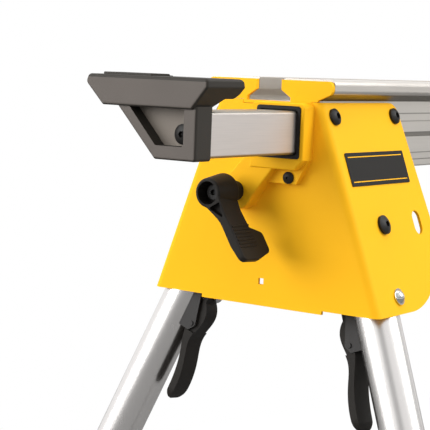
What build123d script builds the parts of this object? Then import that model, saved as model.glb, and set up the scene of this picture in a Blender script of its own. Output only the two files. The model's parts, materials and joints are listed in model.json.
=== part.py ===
from build123d import *
import math
import os

# Folding miter saw stand. X runs along the beam, Y points to the back, Z is up.
# The origin lies on the floor under the middle of the beam. The stand looks the same after
# half a turn about Z, so each end is drawn once, for the left end, and turned for the right.
# End frame: x = 0 on the outer plane of the end sheet and growing inwards, z = 0 on top of
# the end casting, y = 0 on the middle of the beam.

# Driving sizes of the whole stand
OVERALL_BEAM = 1524.0
BEAM_TOP_HEIGHT = 813.0
BEAM_PROUD = 1.4
OVERRUN = 60.0
HEAD_SIDE_SHARE = 0.45
TUBE_CLEARANCE = 0.35
NEST_CLEARANCE = 0.15
SEAT_CLEARANCE = 0.3
RUNNING_CLEARANCE = 0.06

# Beam extrusion, heights measured down from the beam's top
RAIL_HALF = 67.0
RAIL_ROUND = 5.0
RAIL_EDGE_DEPTH = 12.2
UNDERCUT_DEPTH = 18.8
BODY_HALF = 53.3
SIDE_WALL = 5.0
WEB_THICKNESS = 3.0
BEAM_DEPTH = 82.4
SLOT_NECK_HALF = 13.5
SLOT_NECK_DEPTH = 10.4
SLOT_HALF = 23.4
SLOT_SHOULDER_DEPTH = 17.0
SLOT_FLOOR_DEPTH = 20.6
SLOT_FLOOR_WALL = 3.0
CHAMBER_DEPTH = 47.6
CHAMBER_FLOOR_WALL = 3.0
BEAM_FOOT_WIDTH = 12.0
BEAM_FOOT_WALL = 3.0
SIDE_BAND_TOP = 30.0
SIDE_BAND_BOTTOM = 38.3
SIDE_BAND_SINK = 0.8
SIDE_GROOVE_TOP = 48.4
SIDE_GROOVE_BOTTOM = 52.4
SIDE_GROOVE_SINK = 2.4
SKIRT_TOP = 68.4
SKIRT_SINK = 1.6
SKIRT_LINE_TOP = 75.0
SKIRT_LINE_HEIGHT = 0.8
BEAM_END_GAP = 4.4
BEAM_END_RELIEF = 3.0

# Housing, one folded sheet at each end
SHEET = 2.7
HOUSING_TOP = 18.9
HOUSING_TOP_HALF = 56.3
FLANGE_FLARE = 20.15
HOUSING_BOTTOM = 203.2
HEM_DROP = 3.3
HEM_HALF = 66.0
FOLD_RADIUS = 7.5
FLANGE_TOP_LENGTH = 132.2
FLANGE_TOP_ROUND = 12.0
FLANGE_LENGTH = 141.0
FLANGE_CORNER_RADIUS = 79.0
SHEET_HOLE = 5.6
SHEET_HOLE_DEPTH = 184.0
SHEET_WINDOW_MARGIN = 0.4

# Extension tube and what guides it
TUBE_SIZE = 38.1
TUBE_WALL = 2.5
TUBE_ROUND = 2.5
TUBE_LENGTH = 1250.0
TUBE_OFFSET = 22.9
TUBE_DEPTH = 45.8
LINER_SIZE = 46.2
LINER_ROUND = 3.0
LINER_PROUD = 1.0
LINER_REACH = 42.0
LINER_MOUTH = 1.6
GLIDE_LENGTH = 60.0

# End casting
WING_HALF = 67.1
WING_ROUND = 5.5
WING_EDGE_DEPTH = 10.8
WING_SLANT_DEPTH = 17.4
WING_SLANT_HALF = 52.0
WING_THICKNESS = 4.0
WING_NECK_DEPTH = 9.0
WING_SHOULDER_DEPTH = 15.6
WING_FLOOR_DEPTH = 19.2
WING_BOTTOM_DEPTH = 22.2
WING_BOTTOM_HALF = 27.0
BOX_LEFT = 6.6
BOX_RIGHT = 49.5
BOX_TOP = 19.8
BOX_BOTTOM = 79.0
BOX_PROUD = 16.5
BOX_ROUND = 5.0
BOX_CHAMFER_DROP = 9.0
CAST_EDGE_ROUND = 1.5
ARM_PROUD = 15.3
ARM_EDGE_START = 17.5
HUB_OFFSET = 21.0
HUB_DEPTH = 101.8
BOSS_RADIUS = 17.0
LUG_PROUD = 7.0
LUG_LEFT = 7.5
LUG_RIGHT = 37.5
LUG_BOTTOM = 92.2
LUG_BOLT_OFFSET = 30.0
LUG_BOLT_DEPTH = 86.6

# Lock lever, shaft, cam and brake shoe
SHAFT_RADIUS = 5.0
SHAFT_TAIL_RADIUS = 4.0
SHAFT_TAIL_REACH = 9.0
SHAFT_NUT_RADIUS = 7.0
SHAFT_NUT_HEIGHT = 4.0
CAM_RADIUS = 8.0
CAM_THROW = 1.0
CAM_POCKET_FLOOR = 12.3
CAM_POCKET_RADIUS = 10.5
SHOE_WIDTH = 11.0
SHOE_NOSE_LEG = 13.0
LEVER_FRONT = 59.5
LEVER_BACK = 16.0
LEVER_LEAN = 31.0
LEVER_HUB_BACK = 33.0
LEVER_HUB_RADIUS = 13.0
LEVER_HUB_BACK_RADIUS = 17.0
LEVER_COLLAR_RADIUS = 9.0
LEVER_CUP_RADIUS = 10.4
LEVER_CUP_DEPTH = 14.0
LEVER_ROUND = 2.0
LEVER_ARM_LENGTH = 71.0
LEVER_NECK_HALF = 10.6
LEVER_WAIST = 23.0
LEVER_WAIST_FACE = 7.9
LEVER_TAPER = 34.0
LEVER_TAPER_SHARES = [(0.0, 1.0), (0.41, 0.57), (0.79, 0.1), (1.0, 0.0)]
PADDLE_TOP = 39.0
PADDLE_BEND = 7.0
PADDLE_FACE = 8.9
PADDLE_TIP_THICKNESS = 5.5
PADDLE_END_SLANT = 6.0
PADDLE_END_BOW = 1.5
PADDLE_ROUND = 5.0
LEVER_EDGE_ROUND = 1.2
LEVER_POCKET_START = 12.6
LEVER_POCKET_END = 27.5
LEVER_POCKET_SHARES = [(0.0, 0.75), (0.0, -0.49), (1.0, 0.47)]
LEVER_POCKET_DEPTH = 6.0
LEVER_RIB_RADIUS = 1.0
LEVER_RIB_SINK = 0.2
LEVER_RIB_START = 37.6
LEVER_RIB_PITCH = 3.3
LEVER_RIB_COUNT = 7
SCREW_HEAD_RADIUS = 6.5
SCREW_HEAD_HEIGHT = 5.0
SOCKET_RADIUS = 3.0
SOCKET_DEPTH = 3.0

# End support
SUPPORT_FRONT = 169.2
SUPPORT_BACK = 117.5
SUPPORT_LEFT = 68.5
SUPPORT_RIGHT = 55.5
SUPPORT_TOP = 0.2
SUPPORT_BAR_HEIGHT = 25.3
SUPPORT_TIP_DROP = 7.0
SUPPORT_TIP_ROUND = 4.2
SUPPORT_LEFT_FOOT = 52.5
SUPPORT_RIGHT_FOOT = 40.2
SUPPORT_NOSE_HEIGHT = 16.4
SUPPORT_NOSE_REACH = 16.0
SUPPORT_BAR_SLANT = 12.0
SUPPORT_ROUND = 2.6
SUPPORT_EDGE_ROUND = 2.4
SUPPORT_NOSE_ROUND = 6.5
SUPPORT_WALL = 3.0
BODY_FRONT = 166.6
BODY_BACK = 145.5
BODY_TOP_LEFT = 40.5
BODY_FOOT_LEFT = 1.8
BODY_BOTTOM = 66.9
BODY_RIGHT = 43.9
RECESS_FLOOR = 154.0
RECESS_LEFT = 25.0
RECESS_FOOT_LEFT = 3.0
RECESS_RIGHT = 31.6
RECESS_BOTTOM = 55.6
TUBE_START = 151.0
PLUG_LENGTH = 30.0
SUPPORT_BOLT_REACH = 24.0
SUPPORT_HEAD_RADIUS = 8.4
SUPPORT_HEAD_HEIGHT = 4.4
RIB_THICKNESS = 2.5

# Flip-up work stop on the end support
STOP_LEFT = 58.0
STOP_RIGHT = 8.0
STOP_FRONT = 161.0
STOP_AXIS = 137.5
STOP_TOP = 2.1
STOP_THICKNESS = 5.0
STOP_KNUCKLE_RADIUS = 2.7
STOP_PIN_RADIUS = 1.5
STOP_PIN_REACH = 4.0
STOP_ROUND = 1.0

# Legs. The leg's plane flares a little more than the flange that carries it.
LEG_RADIUS = 20.0
LEG_WALL = 2.0
LEG_FLARE = 22.3
LEG_LEAN = 8.6
PIVOT_DROP = 115.8
PIVOT_INSET = 26.0
FRONT_PIVOT_X = 50.1
BACK_PIVOT_X = 34.4
LEG_TOP_REACH = 21.0
LEG_END_GAP = 6.0
FOOT_RADIUS = 24.0
FOOT_HEIGHT = 58.0
FOOT_LIP = 3.0
LEG_PLUG_REACH = 16.0
LEG_PLUG_CAP = 2.5
PIVOT_BOLT_RADIUS = 5.0
PIVOT_HEAD_RADIUS = 8.8
PIVOT_HEAD_HEIGHT = 5.2
PIVOT_NUT_RADIUS = 9.0
PIVOT_NUT_HEIGHT = 8.0
PIVOT_WASHER_RADIUS = 10.0
PIVOT_WASHER = 1.5

# Leg lock: pin, cup and release lever
LOCK_RADIUS_DOWN = 65.8
LOCK_PIN_RADIUS = 3.9
LOCK_PIN_ASIDE = 4.0
LOCK_COLLAR_RADIUS = 6.2
LOCK_COLLAR_THICKNESS = 2.0
LOCK_COLLAR_INSET = 3.0
LOCK_HEAD_RADIUS = 6.0
LOCK_HEAD_INSET = 31.6
LOCK_HEAD_THICKNESS = 2.5
CUP_RADIUS = 6.3
CUP_HEIGHT = 5.0
CUP_RIM_RADIUS = 7.6
CUP_RIM = 1.2
CUP_BORE_DEPTH = 2.6
LATCH_SLOT_WIDTH = 14.0
LATCH_SLOT_LENGTH = 22.9
LATCH_SLOT_RUN = 63.8
LATCH_SLOT_LOW = 0.4
RELEASE_PIVOT_DOWN = 98.0
RELEASE_PIVOT_INSET = 27.0
RELEASE_PIN_RADIUS = 2.5
RELEASE_HALF = 12.2
RELEASE_TOP_HALF = 9.7
RELEASE_START = 59.5
RELEASE_LENGTH = 115.0
RELEASE_NEAR = 22.6
RELEASE_DEPTH = 19.0
RELEASE_ARM_SHARES = [(0.0, 0.41), (0.0, 0.195), (0.178, 0.195)]
RELEASE_INNER_SHARES = [(0.13, 0.41), (0.26, 0.75), (0.46, 0.53), (0.64, 0.79), (0.82, 1.0), (0.95, 0.97)]
RELEASE_TIP_SHARE = (1.0, 0.82)
RELEASE_OUTER_SHARES = [(0.93, 0.63), (0.77, 0.58), (0.61, 0.39), (0.49, 0.15), (0.38, 0.0), (0.27, 0.0)]
BRACKET_HALF = 13.0
BRACKET_WALL = 3.0
BRACKET_TOP = 61.0
BRACKET_BOTTOM = 105.0
BRACKET_WEB = 1.2

# Bolts through the housing flanges
FLANGE_BOLT_RADIUS = 4.0
FLANGE_HEAD_RADIUS = 7.6
FLANGE_HEAD_HEIGHT = 5.0
FLANGE_BOLT_DOWN = 13.2
FLANGE_BOLT_NEAR = 15.2
FLANGE_BOLT_FAR = 122.2
FLANGE_BOLT_REACH = 11.5
SPACER_RADIUS = 7.4
CAST_BOLT_RADIUS = 3.0
CAST_HEAD_RADIUS = 5.4
CAST_HEAD_HEIGHT = 3.4
CAST_BOLT_REACH = 14.0

# Saw brackets
BRACKET_SPACING = 250.0
RAIL_LENGTH = 300.0
RAIL_WIDTH = 50.0
RAIL_HEIGHT = 27.0
RAIL_WALL = 3.0
RAIL_LIFT = 2.0
RAIL_BEND = 3.5
SAW_SLOT_SPACING = 196.0
SAW_SLOT_LENGTH = 60.0
SAW_SLOT_RADIUS = 4.3
SADDLE_HALF = 62.0
SADDLE_WALL = 4.0
HOOK_THICKNESS = 8.0
HOOK_LIP = 9.0
HOOK_TOE = 5.0
JAW_THICKNESS = 9.0
CLAMP_AXIS_UP = 14.0
CLAMP_HUB_RADIUS = 8.5
CLAMP_THROW = 3.0
CLAMP_LEVER_LENGTH = 98.0
CLAMP_LEVER_HALF = 12.0
CLAMP_LEVER_THICKNESS = 8.0
CLAMP_PIN_RADIUS = 3.0
CLAMP_GRIP_LENGTH = 42.0

# Places that follow from the sizes above
END_X = -OVERALL_BEAM / 2
CAST_TOP = BEAM_TOP_HEIGHT - BEAM_PROUD
FLARE = math.radians(FLANGE_FLARE)
LEG_TILT = math.radians(LEG_FLARE)
LEG_SLANT = math.radians(LEG_LEAN)
CHAMBER_TOP_DEPTH = SLOT_FLOOR_DEPTH + SLOT_FLOOR_WALL
CHAMBER_BOTTOM_DEPTH = CHAMBER_TOP_DEPTH + CHAMBER_DEPTH
PIVOT_Y = HOUSING_TOP_HALF + PIVOT_DROP * math.sin(FLARE) - PIVOT_INSET * math.cos(FLARE)
PIVOT_Z = -HOUSING_TOP - PIVOT_DROP * math.cos(FLARE) - PIVOT_INSET * math.sin(FLARE)
LEG_TO_FLOOR = (CAST_TOP + PIVOT_Z) / (math.cos(LEG_SLANT) * math.cos(LEG_TILT))
CLAMP_AXIS_OUT = RAIL_HALF + JAW_THICKNESS + 2 * SEAT_CLEARANCE + CLAMP_HUB_RADIUS + CLAMP_THROW
# End of the driving sizes


def prism_x(points, start, end):
    """A solid with a (y, z) outline between two places along X."""
    face = make_face(Polyline(*points, close=True))
    return extrude(Plane.YZ.offset(start) * face, end - start)


def prism_z(points, start, end):
    """A solid with an (x, y) outline between two heights."""
    face = make_face(Polyline(*points, close=True))
    return extrude(Plane.XY.offset(start) * face, end - start)


def block(x0, x1, y0, y1, z0, z1):
    """A box between two corners."""
    return Pos((x0 + x1) / 2, (y0 + y1) / 2, (z0 + z1) / 2) * Box(x1 - x0, y1 - y0, z1 - z0)


def rod(radius, start, end):
    """A round bar between two places along the local z axis."""
    return Pos(0, 0, (start + end) / 2) * Cylinder(radius, end - start)


def rod_x(radius, y, z, start, end):
    """A round bar along X."""
    return Pos((start + end) / 2, y, z) * Rot(0, 90, 0) * Cylinder(radius, end - start)


def rod_y(radius, x, z, start, end):
    """A round bar along Y."""
    return Pos(x, (start + end) / 2, z) * Rot(90, 0, 0) * Cylinder(radius, end - start)


def dome(radius, height, base):
    """The cap of a ball, its flat side at the base height."""
    ball = (radius ** 2 + height ** 2) / (2 * height)
    cap = Pos(0, 0, base + height - ball) * Sphere(ball)
    return cap & rod(radius, base, base + height)


def dome_head(radius, height, base):
    """A button head with an upright side and a domed top, its flat underside at the base height."""
    side = height * HEAD_SIDE_SHARE
    return rod(radius, base, base + side) + dome(radius, height - side, base + side)


def socket_cut(radius, depth, top):
    """A six-sided socket that starts at the top height and goes down."""
    return Pos(0, 0, top - depth) * extrude(RegularPolygon(radius, 6), depth)


def square_tube(size, wall, corner, start, end):
    """A square tube along X, centred on the extension tube's axis."""
    outer = fillet(Rectangle(size, size).vertices(), corner)
    inner = fillet(Rectangle(size - 2 * wall, size - 2 * wall).vertices(), corner / 2)
    section = Plane.YZ.offset(start) * Pos(-TUBE_OFFSET, -TUBE_DEPTH) * (outer - inner)
    return extrude(section, end - start)


def square_bar(size, corner, start, end):
    """A square bar along X, centred on the extension tube's axis."""
    face = fillet(Rectangle(size, size).vertices(), corner)
    return extrude(Plane.YZ.offset(start) * Pos(-TUBE_OFFSET, -TUBE_DEPTH) * face, end - start)


def flange_plane(side, down, along):
    """A plane on the outside of a flange, its z axis pointing outwards; side is -1 for the front."""
    y = side * (HOUSING_TOP_HALF + down * math.sin(FLARE))
    z = -HOUSING_TOP - down * math.cos(FLARE)
    return Plane(origin=(along, y, z), x_dir=(1, 0, 0), z_dir=(0, side * math.cos(FLARE), math.sin(FLARE)))


def leg_plane(side):
    """The leg's frame: x down the leg, z outwards along the hinge; side is -1 for the front."""
    pivot_x = FRONT_PIVOT_X if side < 0 else BACK_PIVOT_X
    down = (-math.sin(LEG_SLANT),
            side * math.cos(LEG_SLANT) * math.sin(LEG_TILT),
            -math.cos(LEG_SLANT) * math.cos(LEG_TILT))
    out = (0, side * math.cos(LEG_TILT), math.sin(LEG_TILT))
    return Plane(origin=(pivot_x, side * PIVOT_Y, PIVOT_Z), x_dir=down, z_dir=out)


# Beam

def beam_half_outline():
    """Right half of the extrusion's outside, from the slot's neck round to the underside."""
    wall = BODY_HALF
    return [
        (SLOT_NECK_HALF, 0),
        (RAIL_HALF, 0),
        (RAIL_HALF, -RAIL_EDGE_DEPTH),
        (wall, -UNDERCUT_DEPTH),
        (wall, -SIDE_BAND_TOP),
        (wall - SIDE_BAND_SINK, -SIDE_BAND_TOP),
        (wall - SIDE_BAND_SINK, -SIDE_BAND_BOTTOM),
        (wall, -SIDE_BAND_BOTTOM),
        (wall, -SIDE_GROOVE_TOP),
        (wall - SIDE_GROOVE_SINK, -SIDE_GROOVE_TOP),
        (wall - SIDE_GROOVE_SINK, -SIDE_GROOVE_BOTTOM),
        (wall, -SIDE_GROOVE_BOTTOM),
        (wall, -SKIRT_TOP),
        (wall - SKIRT_SINK, -SKIRT_TOP),
        (wall - SKIRT_SINK, -SKIRT_LINE_TOP),
        (wall - SKIRT_SINK - SIDE_BAND_SINK, -SKIRT_LINE_TOP),
        (wall - SKIRT_SINK - SIDE_BAND_SINK, -SKIRT_LINE_TOP - SKIRT_LINE_HEIGHT),
        (wall - SKIRT_SINK, -SKIRT_LINE_TOP - SKIRT_LINE_HEIGHT),
        (wall - SKIRT_SINK, -BEAM_DEPTH),
        (wall - SKIRT_SINK - BEAM_FOOT_WIDTH, -BEAM_DEPTH),
        (wall - SKIRT_SINK - BEAM_FOOT_WIDTH, -BEAM_DEPTH + BEAM_FOOT_WALL),
        (wall - SIDE_WALL, -BEAM_DEPTH + BEAM_FOOT_WALL),
        (wall - SIDE_WALL, -CHAMBER_BOTTOM_DEPTH - CHAMBER_FLOOR_WALL),
        (0, -CHAMBER_BOTTOM_DEPTH - CHAMBER_FLOOR_WALL),
        (0, -SLOT_FLOOR_DEPTH),
        (SLOT_HALF, -SLOT_FLOOR_DEPTH),
        (SLOT_HALF, -SLOT_SHOULDER_DEPTH),
        (SLOT_NECK_HALF, -SLOT_NECK_DEPTH),
    ]


def beam_section():
    """The extrusion's section: slot on top, two chambers side by side, feet below."""
    half = make_face(Polyline(*beam_half_outline(), close=True))
    rail_corners = [v for v in half.vertices() if abs(v.X - RAIL_HALF) < RUNNING_CLEARANCE]
    half = fillet(rail_corners, RAIL_ROUND)
    chamber_width = BODY_HALF - SIDE_WALL - WEB_THICKNESS / 2
    middle = (WEB_THICKNESS / 2 + BODY_HALF - SIDE_WALL) / 2
    depth = (CHAMBER_TOP_DEPTH + CHAMBER_BOTTOM_DEPTH) / 2
    chamber = fillet(Rectangle(chamber_width, CHAMBER_DEPTH).vertices(), TUBE_ROUND / 2)
    half = half - Pos(middle, -depth) * chamber
    return half + mirror(half, Plane.YZ)


def make_beam():
    """The main beam, its ends just behind the two castings, with holes for the flange bolts."""
    half_length = OVERALL_BEAM / 2 - BEAM_END_GAP
    section = Plane.YZ.offset(-half_length) * beam_section()
    beam = Pos(0, 0, BEAM_TOP_HEIGHT) * extrude(section, 2 * half_length)
    holes = both_ends(flange_bolt_shanks(FLANGE_BOLT_RADIUS + RUNNING_CLEARANCE))
    return beam - holes - both_ends(fold_reliefs())


def fold_reliefs():
    """Corners taken off the beam's upright sides, where the housing's folds pass."""
    far = BEAM_END_GAP + BEAM_END_RELIEF
    reliefs = []
    for side in (-1, 1):
        wall = side * BODY_HALF
        outer = wall + side * BEAM_END_RELIEF
        outline = [(0, outer), (far + BEAM_END_RELIEF, outer), (0, wall - side * far)]
        reliefs.append(prism_z(outline, -BEAM_DEPTH, BEAM_PROUD - UNDERCUT_DEPTH))
    return reliefs


def chamber_bar(gap, corner, start, end):
    """A bar along X that fills one of the beam's chambers, less a gap all round."""
    width = BODY_HALF - SIDE_WALL - WEB_THICKNESS / 2 - 2 * gap
    middle = (WEB_THICKNESS / 2 + BODY_HALF - SIDE_WALL) / 2
    depth = (CHAMBER_TOP_DEPTH + CHAMBER_BOTTOM_DEPTH) / 2 - BEAM_PROUD
    face = fillet(Rectangle(width, CHAMBER_DEPTH - 2 * gap).vertices(), corner)
    return extrude(Plane.YZ.offset(start) * Pos(-middle, -depth) * face, end - start)


# Housing

def housing_shell(inset, front, far):
    """The trapezoid prism of the housing, drawn in by an inset."""
    slack = inset / math.cos(FLARE)
    deep = HOUSING_BOTTOM + HEM_DROP + inset
    spread = (deep - HOUSING_TOP) * math.tan(FLARE)
    top = HOUSING_TOP - inset
    top_half = HOUSING_TOP_HALF - slack - inset * math.tan(FLARE)
    bottom_half = HOUSING_TOP_HALF - slack + spread
    outline = [(-top_half, -top), (top_half, -top), (bottom_half, -deep), (-bottom_half, -deep)]
    shell = prism_x(outline, front, far)
    upright = [e for e in shell.edges().filter_by(GeomType.LINE)
               if abs(e.tangent_at(0).Z) > abs(e.tangent_at(0).Y)]
    folds = [e for e in upright if abs(e.center().X - front) < RUNNING_CLEARANCE]
    return fillet(folds, FOLD_RADIUS - inset)


def flange_outline():
    """What is left of the flanges, seen from the side: small round corner above, large one below."""
    top = -HOUSING_TOP
    bottom = -HOUSING_BOTTOM
    centre = (FLANGE_LENGTH - FLANGE_CORNER_RADIUS, bottom + FLANGE_CORNER_RADIUS)
    edges = [
        Line((0, top), (FLANGE_TOP_LENGTH, top)),
        Line((FLANGE_TOP_LENGTH, top), (FLANGE_LENGTH, centre[1])),
        CenterArc(centre, FLANGE_CORNER_RADIUS, -90, 90),
        Line((centre[0], bottom), (0, bottom)),
        Line((0, bottom), (0, top)),
    ]
    face = make_face(Curve() + edges)
    rear_top = [v for v in face.vertices() if abs(v.X - FLANGE_TOP_LENGTH) < RUNNING_CLEARANCE]
    return fillet(rear_top, FLANGE_TOP_ROUND)


def make_housing():
    """One housing: an end sheet and two flared flanges, folded from one blank."""
    reach = FLANGE_LENGTH + OVERRUN
    housing = housing_shell(0, 0, reach) - housing_shell(SHEET, SHEET, reach + OVERRUN)
    width = HOUSING_TOP_HALF + HOUSING_BOTTOM * math.tan(FLARE)
    side = extrude(Plane.XZ.offset(-width) * flange_outline(), 2 * width)
    hem = block(0, SHEET, -HEM_HALF, HEM_HALF, -HOUSING_BOTTOM - HEM_DROP, -HOUSING_BOTTOM)
    housing = (housing & side) + hem
    half = LINER_SIZE / 2 + SHEET_WINDOW_MARGIN
    cuts = [
        block(-SHEET, 2 * SHEET, -TUBE_OFFSET - half, -TUBE_OFFSET + half,
              -TUBE_DEPTH - half, -HOUSING_TOP + SHEET),
        block(-SHEET, 2 * SHEET, -TUBE_OFFSET - half, WING_BOTTOM_HALF + SHEET_WINDOW_MARGIN,
              -WING_BOTTOM_DEPTH - SHEET_WINDOW_MARGIN, -HOUSING_TOP + SHEET),
        rod_x(SHAFT_TAIL_RADIUS + RUNNING_CLEARANCE, HUB_OFFSET, -HUB_DEPTH, -SHEET, 2 * SHEET),
        rod_x(CAST_BOLT_RADIUS + NEST_CLEARANCE, -LUG_BOLT_OFFSET, -LUG_BOLT_DEPTH, -SHEET, 2 * SHEET),
        block(-SHEET, 2 * SHEET, -SHEET_HOLE / 2, SHEET_HOLE / 2,
              -SHEET_HOLE_DEPTH - SHEET_HOLE / 2, -SHEET_HOLE_DEPTH + SHEET_HOLE / 2),
    ]
    cuts += flange_bolt_shanks(FLANGE_BOLT_RADIUS + NEST_CLEARANCE)
    for side in (-1, 1):
        frame = leg_plane(side).location
        aside = -side * LOCK_PIN_ASIDE
        cuts.append(frame * rod(PIVOT_BOLT_RADIUS + NEST_CLEARANCE, 0, 2 * PIVOT_INSET))
        cuts.append(frame * Pos(LOCK_RADIUS_DOWN, aside, 0)
                    * rod(LOCK_PIN_RADIUS + SEAT_CLEARANCE, 0, 2 * PIVOT_INSET))
        cuts.append(latch_slot(side))
    return housing - cuts


def latch_slot(side):
    """The long hole in which the lock pin rests while the leg is folded."""
    pivot_x = FRONT_PIVOT_X if side < 0 else BACK_PIVOT_X
    frame = flange_plane(side, PIVOT_DROP + LATCH_SLOT_LOW, pivot_x + LATCH_SLOT_RUN)
    hole = SlotOverall(LATCH_SLOT_LENGTH, LATCH_SLOT_WIDTH, rotation=90)
    return extrude(frame * hole, OVERRUN / 2, both=True)


def flange_bolt_places():
    """Planes on the flanges where the four bolts of one end sit."""
    return [flange_plane(side, FLANGE_BOLT_DOWN, along)
            for side in (-1, 1) for along in (FLANGE_BOLT_NEAR, FLANGE_BOLT_FAR)]


def flange_bolt_shanks(radius):
    return [place.location * rod(radius, -FLANGE_BOLT_REACH, 0) for place in flange_bolt_places()]


def make_flange_bolts():
    """Four button-head bolts, each with a hexagon socket."""
    bolts = []
    for place in flange_bolt_places():
        head = dome_head(FLANGE_HEAD_RADIUS, FLANGE_HEAD_HEIGHT, 0)
        head -= socket_cut(SOCKET_RADIUS, SOCKET_DEPTH, FLANGE_HEAD_HEIGHT)
        bolts.append(place.location * (head + rod(FLANGE_BOLT_RADIUS, -FLANGE_BOLT_REACH, 0)))
    return bolts


def make_bolt_spacers():
    """Wedge-shaped spacers between the flared flanges and the beam's upright sides."""
    spacers = []
    for place in flange_bolt_places():
        bar = rod(SPACER_RADIUS, -FLANGE_BOLT_REACH, -SHEET)
        bar -= rod(FLANGE_BOLT_RADIUS + NEST_CLEARANCE, -2 * FLANGE_BOLT_REACH, FLANGE_BOLT_REACH)
        bar = place.location * bar
        beam_zone = block(-OVERRUN, FLANGE_LENGTH + OVERRUN, -BODY_HALF, BODY_HALF, -BEAM_DEPTH, 0)
        spacers.append(bar - beam_zone)
    return spacers


# End casting

def make_casting():
    """The end casting: winged plate with the slot's shape, raised box, diagonal arm and lug."""
    cut_right = -TUBE_OFFSET - LINER_SIZE / 2
    wing_outline = [
        (-WING_HALF, 0), (WING_HALF, 0), (WING_HALF, -WING_EDGE_DEPTH),
        (WING_SLANT_HALF, -WING_SLANT_DEPTH), (WING_SLANT_HALF, -HOUSING_TOP + SEAT_CLEARANCE),
        (WING_BOTTOM_HALF, -HOUSING_TOP + SEAT_CLEARANCE), (WING_BOTTOM_HALF, -WING_BOTTOM_DEPTH),
        (cut_right, -WING_BOTTOM_DEPTH), (cut_right, -HOUSING_TOP + SEAT_CLEARANCE),
        (-WING_SLANT_HALF, -HOUSING_TOP + SEAT_CLEARANCE), (-WING_SLANT_HALF, -WING_SLANT_DEPTH),
        (-WING_HALF, -WING_EDGE_DEPTH),
    ]
    face = make_face(Polyline(*wing_outline, close=True))
    tips = [v for v in face.vertices() if abs(abs(v.X) - WING_HALF) < RUNNING_CLEARANCE]
    face = fillet(tips, WING_ROUND)
    half = LINER_SIZE / 2 + NEST_CLEARANCE
    wing = extrude(Plane.YZ * face, WING_THICKNESS)
    slot = prism_x([
        (-SLOT_NECK_HALF, BEAM_PROUD), (SLOT_NECK_HALF, BEAM_PROUD), (SLOT_NECK_HALF, -WING_NECK_DEPTH),
        (SLOT_HALF, -WING_SHOULDER_DEPTH), (SLOT_HALF, -WING_FLOOR_DEPTH), (-SLOT_HALF, -WING_FLOOR_DEPTH),
        (-SLOT_HALF, -WING_SHOULDER_DEPTH), (-SLOT_NECK_HALF, -WING_NECK_DEPTH),
    ], -BOX_PROUD, 2 * WING_THICKNESS)
    box_outline = [
        (BOX_LEFT, -BOX_TOP), (BOX_LEFT, -BOX_BOTTOM), (-BOX_RIGHT + BOX_CHAMFER_DROP, -BOX_BOTTOM),
        (-BOX_RIGHT, -BOX_BOTTOM + BOX_CHAMFER_DROP), (-BOX_RIGHT, -BOX_TOP),
    ]
    box = make_face(Polyline(*box_outline, close=True))
    top_corners = [v for v in box.vertices() if abs(v.Y + BOX_TOP) < RUNNING_CLEARANCE]
    box = extrude(Plane.YZ.offset(-BOX_PROUD) * fillet(top_corners, BOX_ROUND), BOX_PROUD)
    box = fillet(box.faces().sort_by(Axis.X)[0].edges(), CAST_EDGE_ROUND)
    casting = wing - slot + box + casting_arm() + casting_lug()
    window = Plane.YZ.offset(-OVERRUN) * Pos(-TUBE_OFFSET, -TUBE_DEPTH) * fillet(
        Rectangle(2 * half, 2 * half).vertices(), LINER_ROUND)
    casting -= extrude(window, 2 * OVERRUN)
    casting -= cam_cavity()
    casting -= rod_x(CAST_BOLT_RADIUS + NEST_CLEARANCE, -LUG_BOLT_OFFSET, -LUG_BOLT_DEPTH,
                     -BOX_PROUD, SHEET)
    return casting


def casting_arm():
    """The arm that runs down from the box to the lock lever's boss."""
    aside = BOSS_RADIUS / 2
    rise = BOSS_RADIUS * math.sqrt(3) / 2
    outline = [
        (-ARM_EDGE_START, -BOX_BOTTOM), (HUB_OFFSET - aside, -HUB_DEPTH - rise),
        (HUB_OFFSET, -HUB_DEPTH), (HUB_OFFSET + aside, -HUB_DEPTH + rise),
        (BOX_LEFT, -BOX_BOTTOM + BOSS_RADIUS), (-ARM_EDGE_START, -BOX_BOTTOM + BOSS_RADIUS),
    ]
    arm = prism_x(outline, -ARM_PROUD, 0) + rod_x(BOSS_RADIUS, HUB_OFFSET, -HUB_DEPTH, -ARM_PROUD, 0)
    return fillet(arm.faces().sort_by(Axis.X)[0].edges(), CAST_EDGE_ROUND)


def casting_lug():
    """The lower lug with the casting's fixing bolt."""
    outline = [
        (-BOX_RIGHT, -BOX_BOTTOM + BOX_CHAMFER_DROP), (-LUG_RIGHT, -LUG_BOTTOM), (-LUG_LEFT, -LUG_BOTTOM),
        (-LUG_LEFT, -BOX_BOTTOM + BOX_CHAMFER_DROP),
    ]
    return prism_x(outline, -LUG_PROUD, 0)


def shoe_direction():
    """Unit vector from the lever's axis to the extension tube's lower inner corner, as (y, z)."""
    corner_y = -TUBE_OFFSET + TUBE_SIZE / 2
    corner_z = -TUBE_DEPTH - TUBE_SIZE / 2
    y = corner_y - HUB_OFFSET
    z = corner_z + HUB_DEPTH
    length = math.hypot(y, z)
    return y / length, z / length, length


def shoe_plane(x):
    """A plane square to X at the cam, its x axis pointing to the tube's corner."""
    y, z, _ = shoe_direction()
    return Plane(origin=(x, HUB_OFFSET, -HUB_DEPTH), x_dir=(0, y, z), z_dir=(1, 0, 0))


def cam_cavity():
    """Room for the cam and the brake shoe, open at the back and closed by the sheet."""
    _, _, length = shoe_direction()
    pocket = rod_x(CAM_POCKET_RADIUS, HUB_OFFSET, -HUB_DEPTH, -CAM_POCKET_FLOOR, SHEET)
    width = SHOE_WIDTH + 2 * SEAT_CLEARANCE
    reach = length + SHOE_NOSE_LEG
    channel = Pos(reach / 2, 0) * Rectangle(reach, width)
    channel = extrude(shoe_plane(-CAM_POCKET_FLOOR) * channel, CAM_POCKET_FLOOR + SHEET)
    shaft = rod_x(SHAFT_RADIUS + RUNNING_CLEARANCE, HUB_OFFSET, -HUB_DEPTH, -OVERRUN, SHEET)
    return [pocket, channel, shaft]


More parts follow.
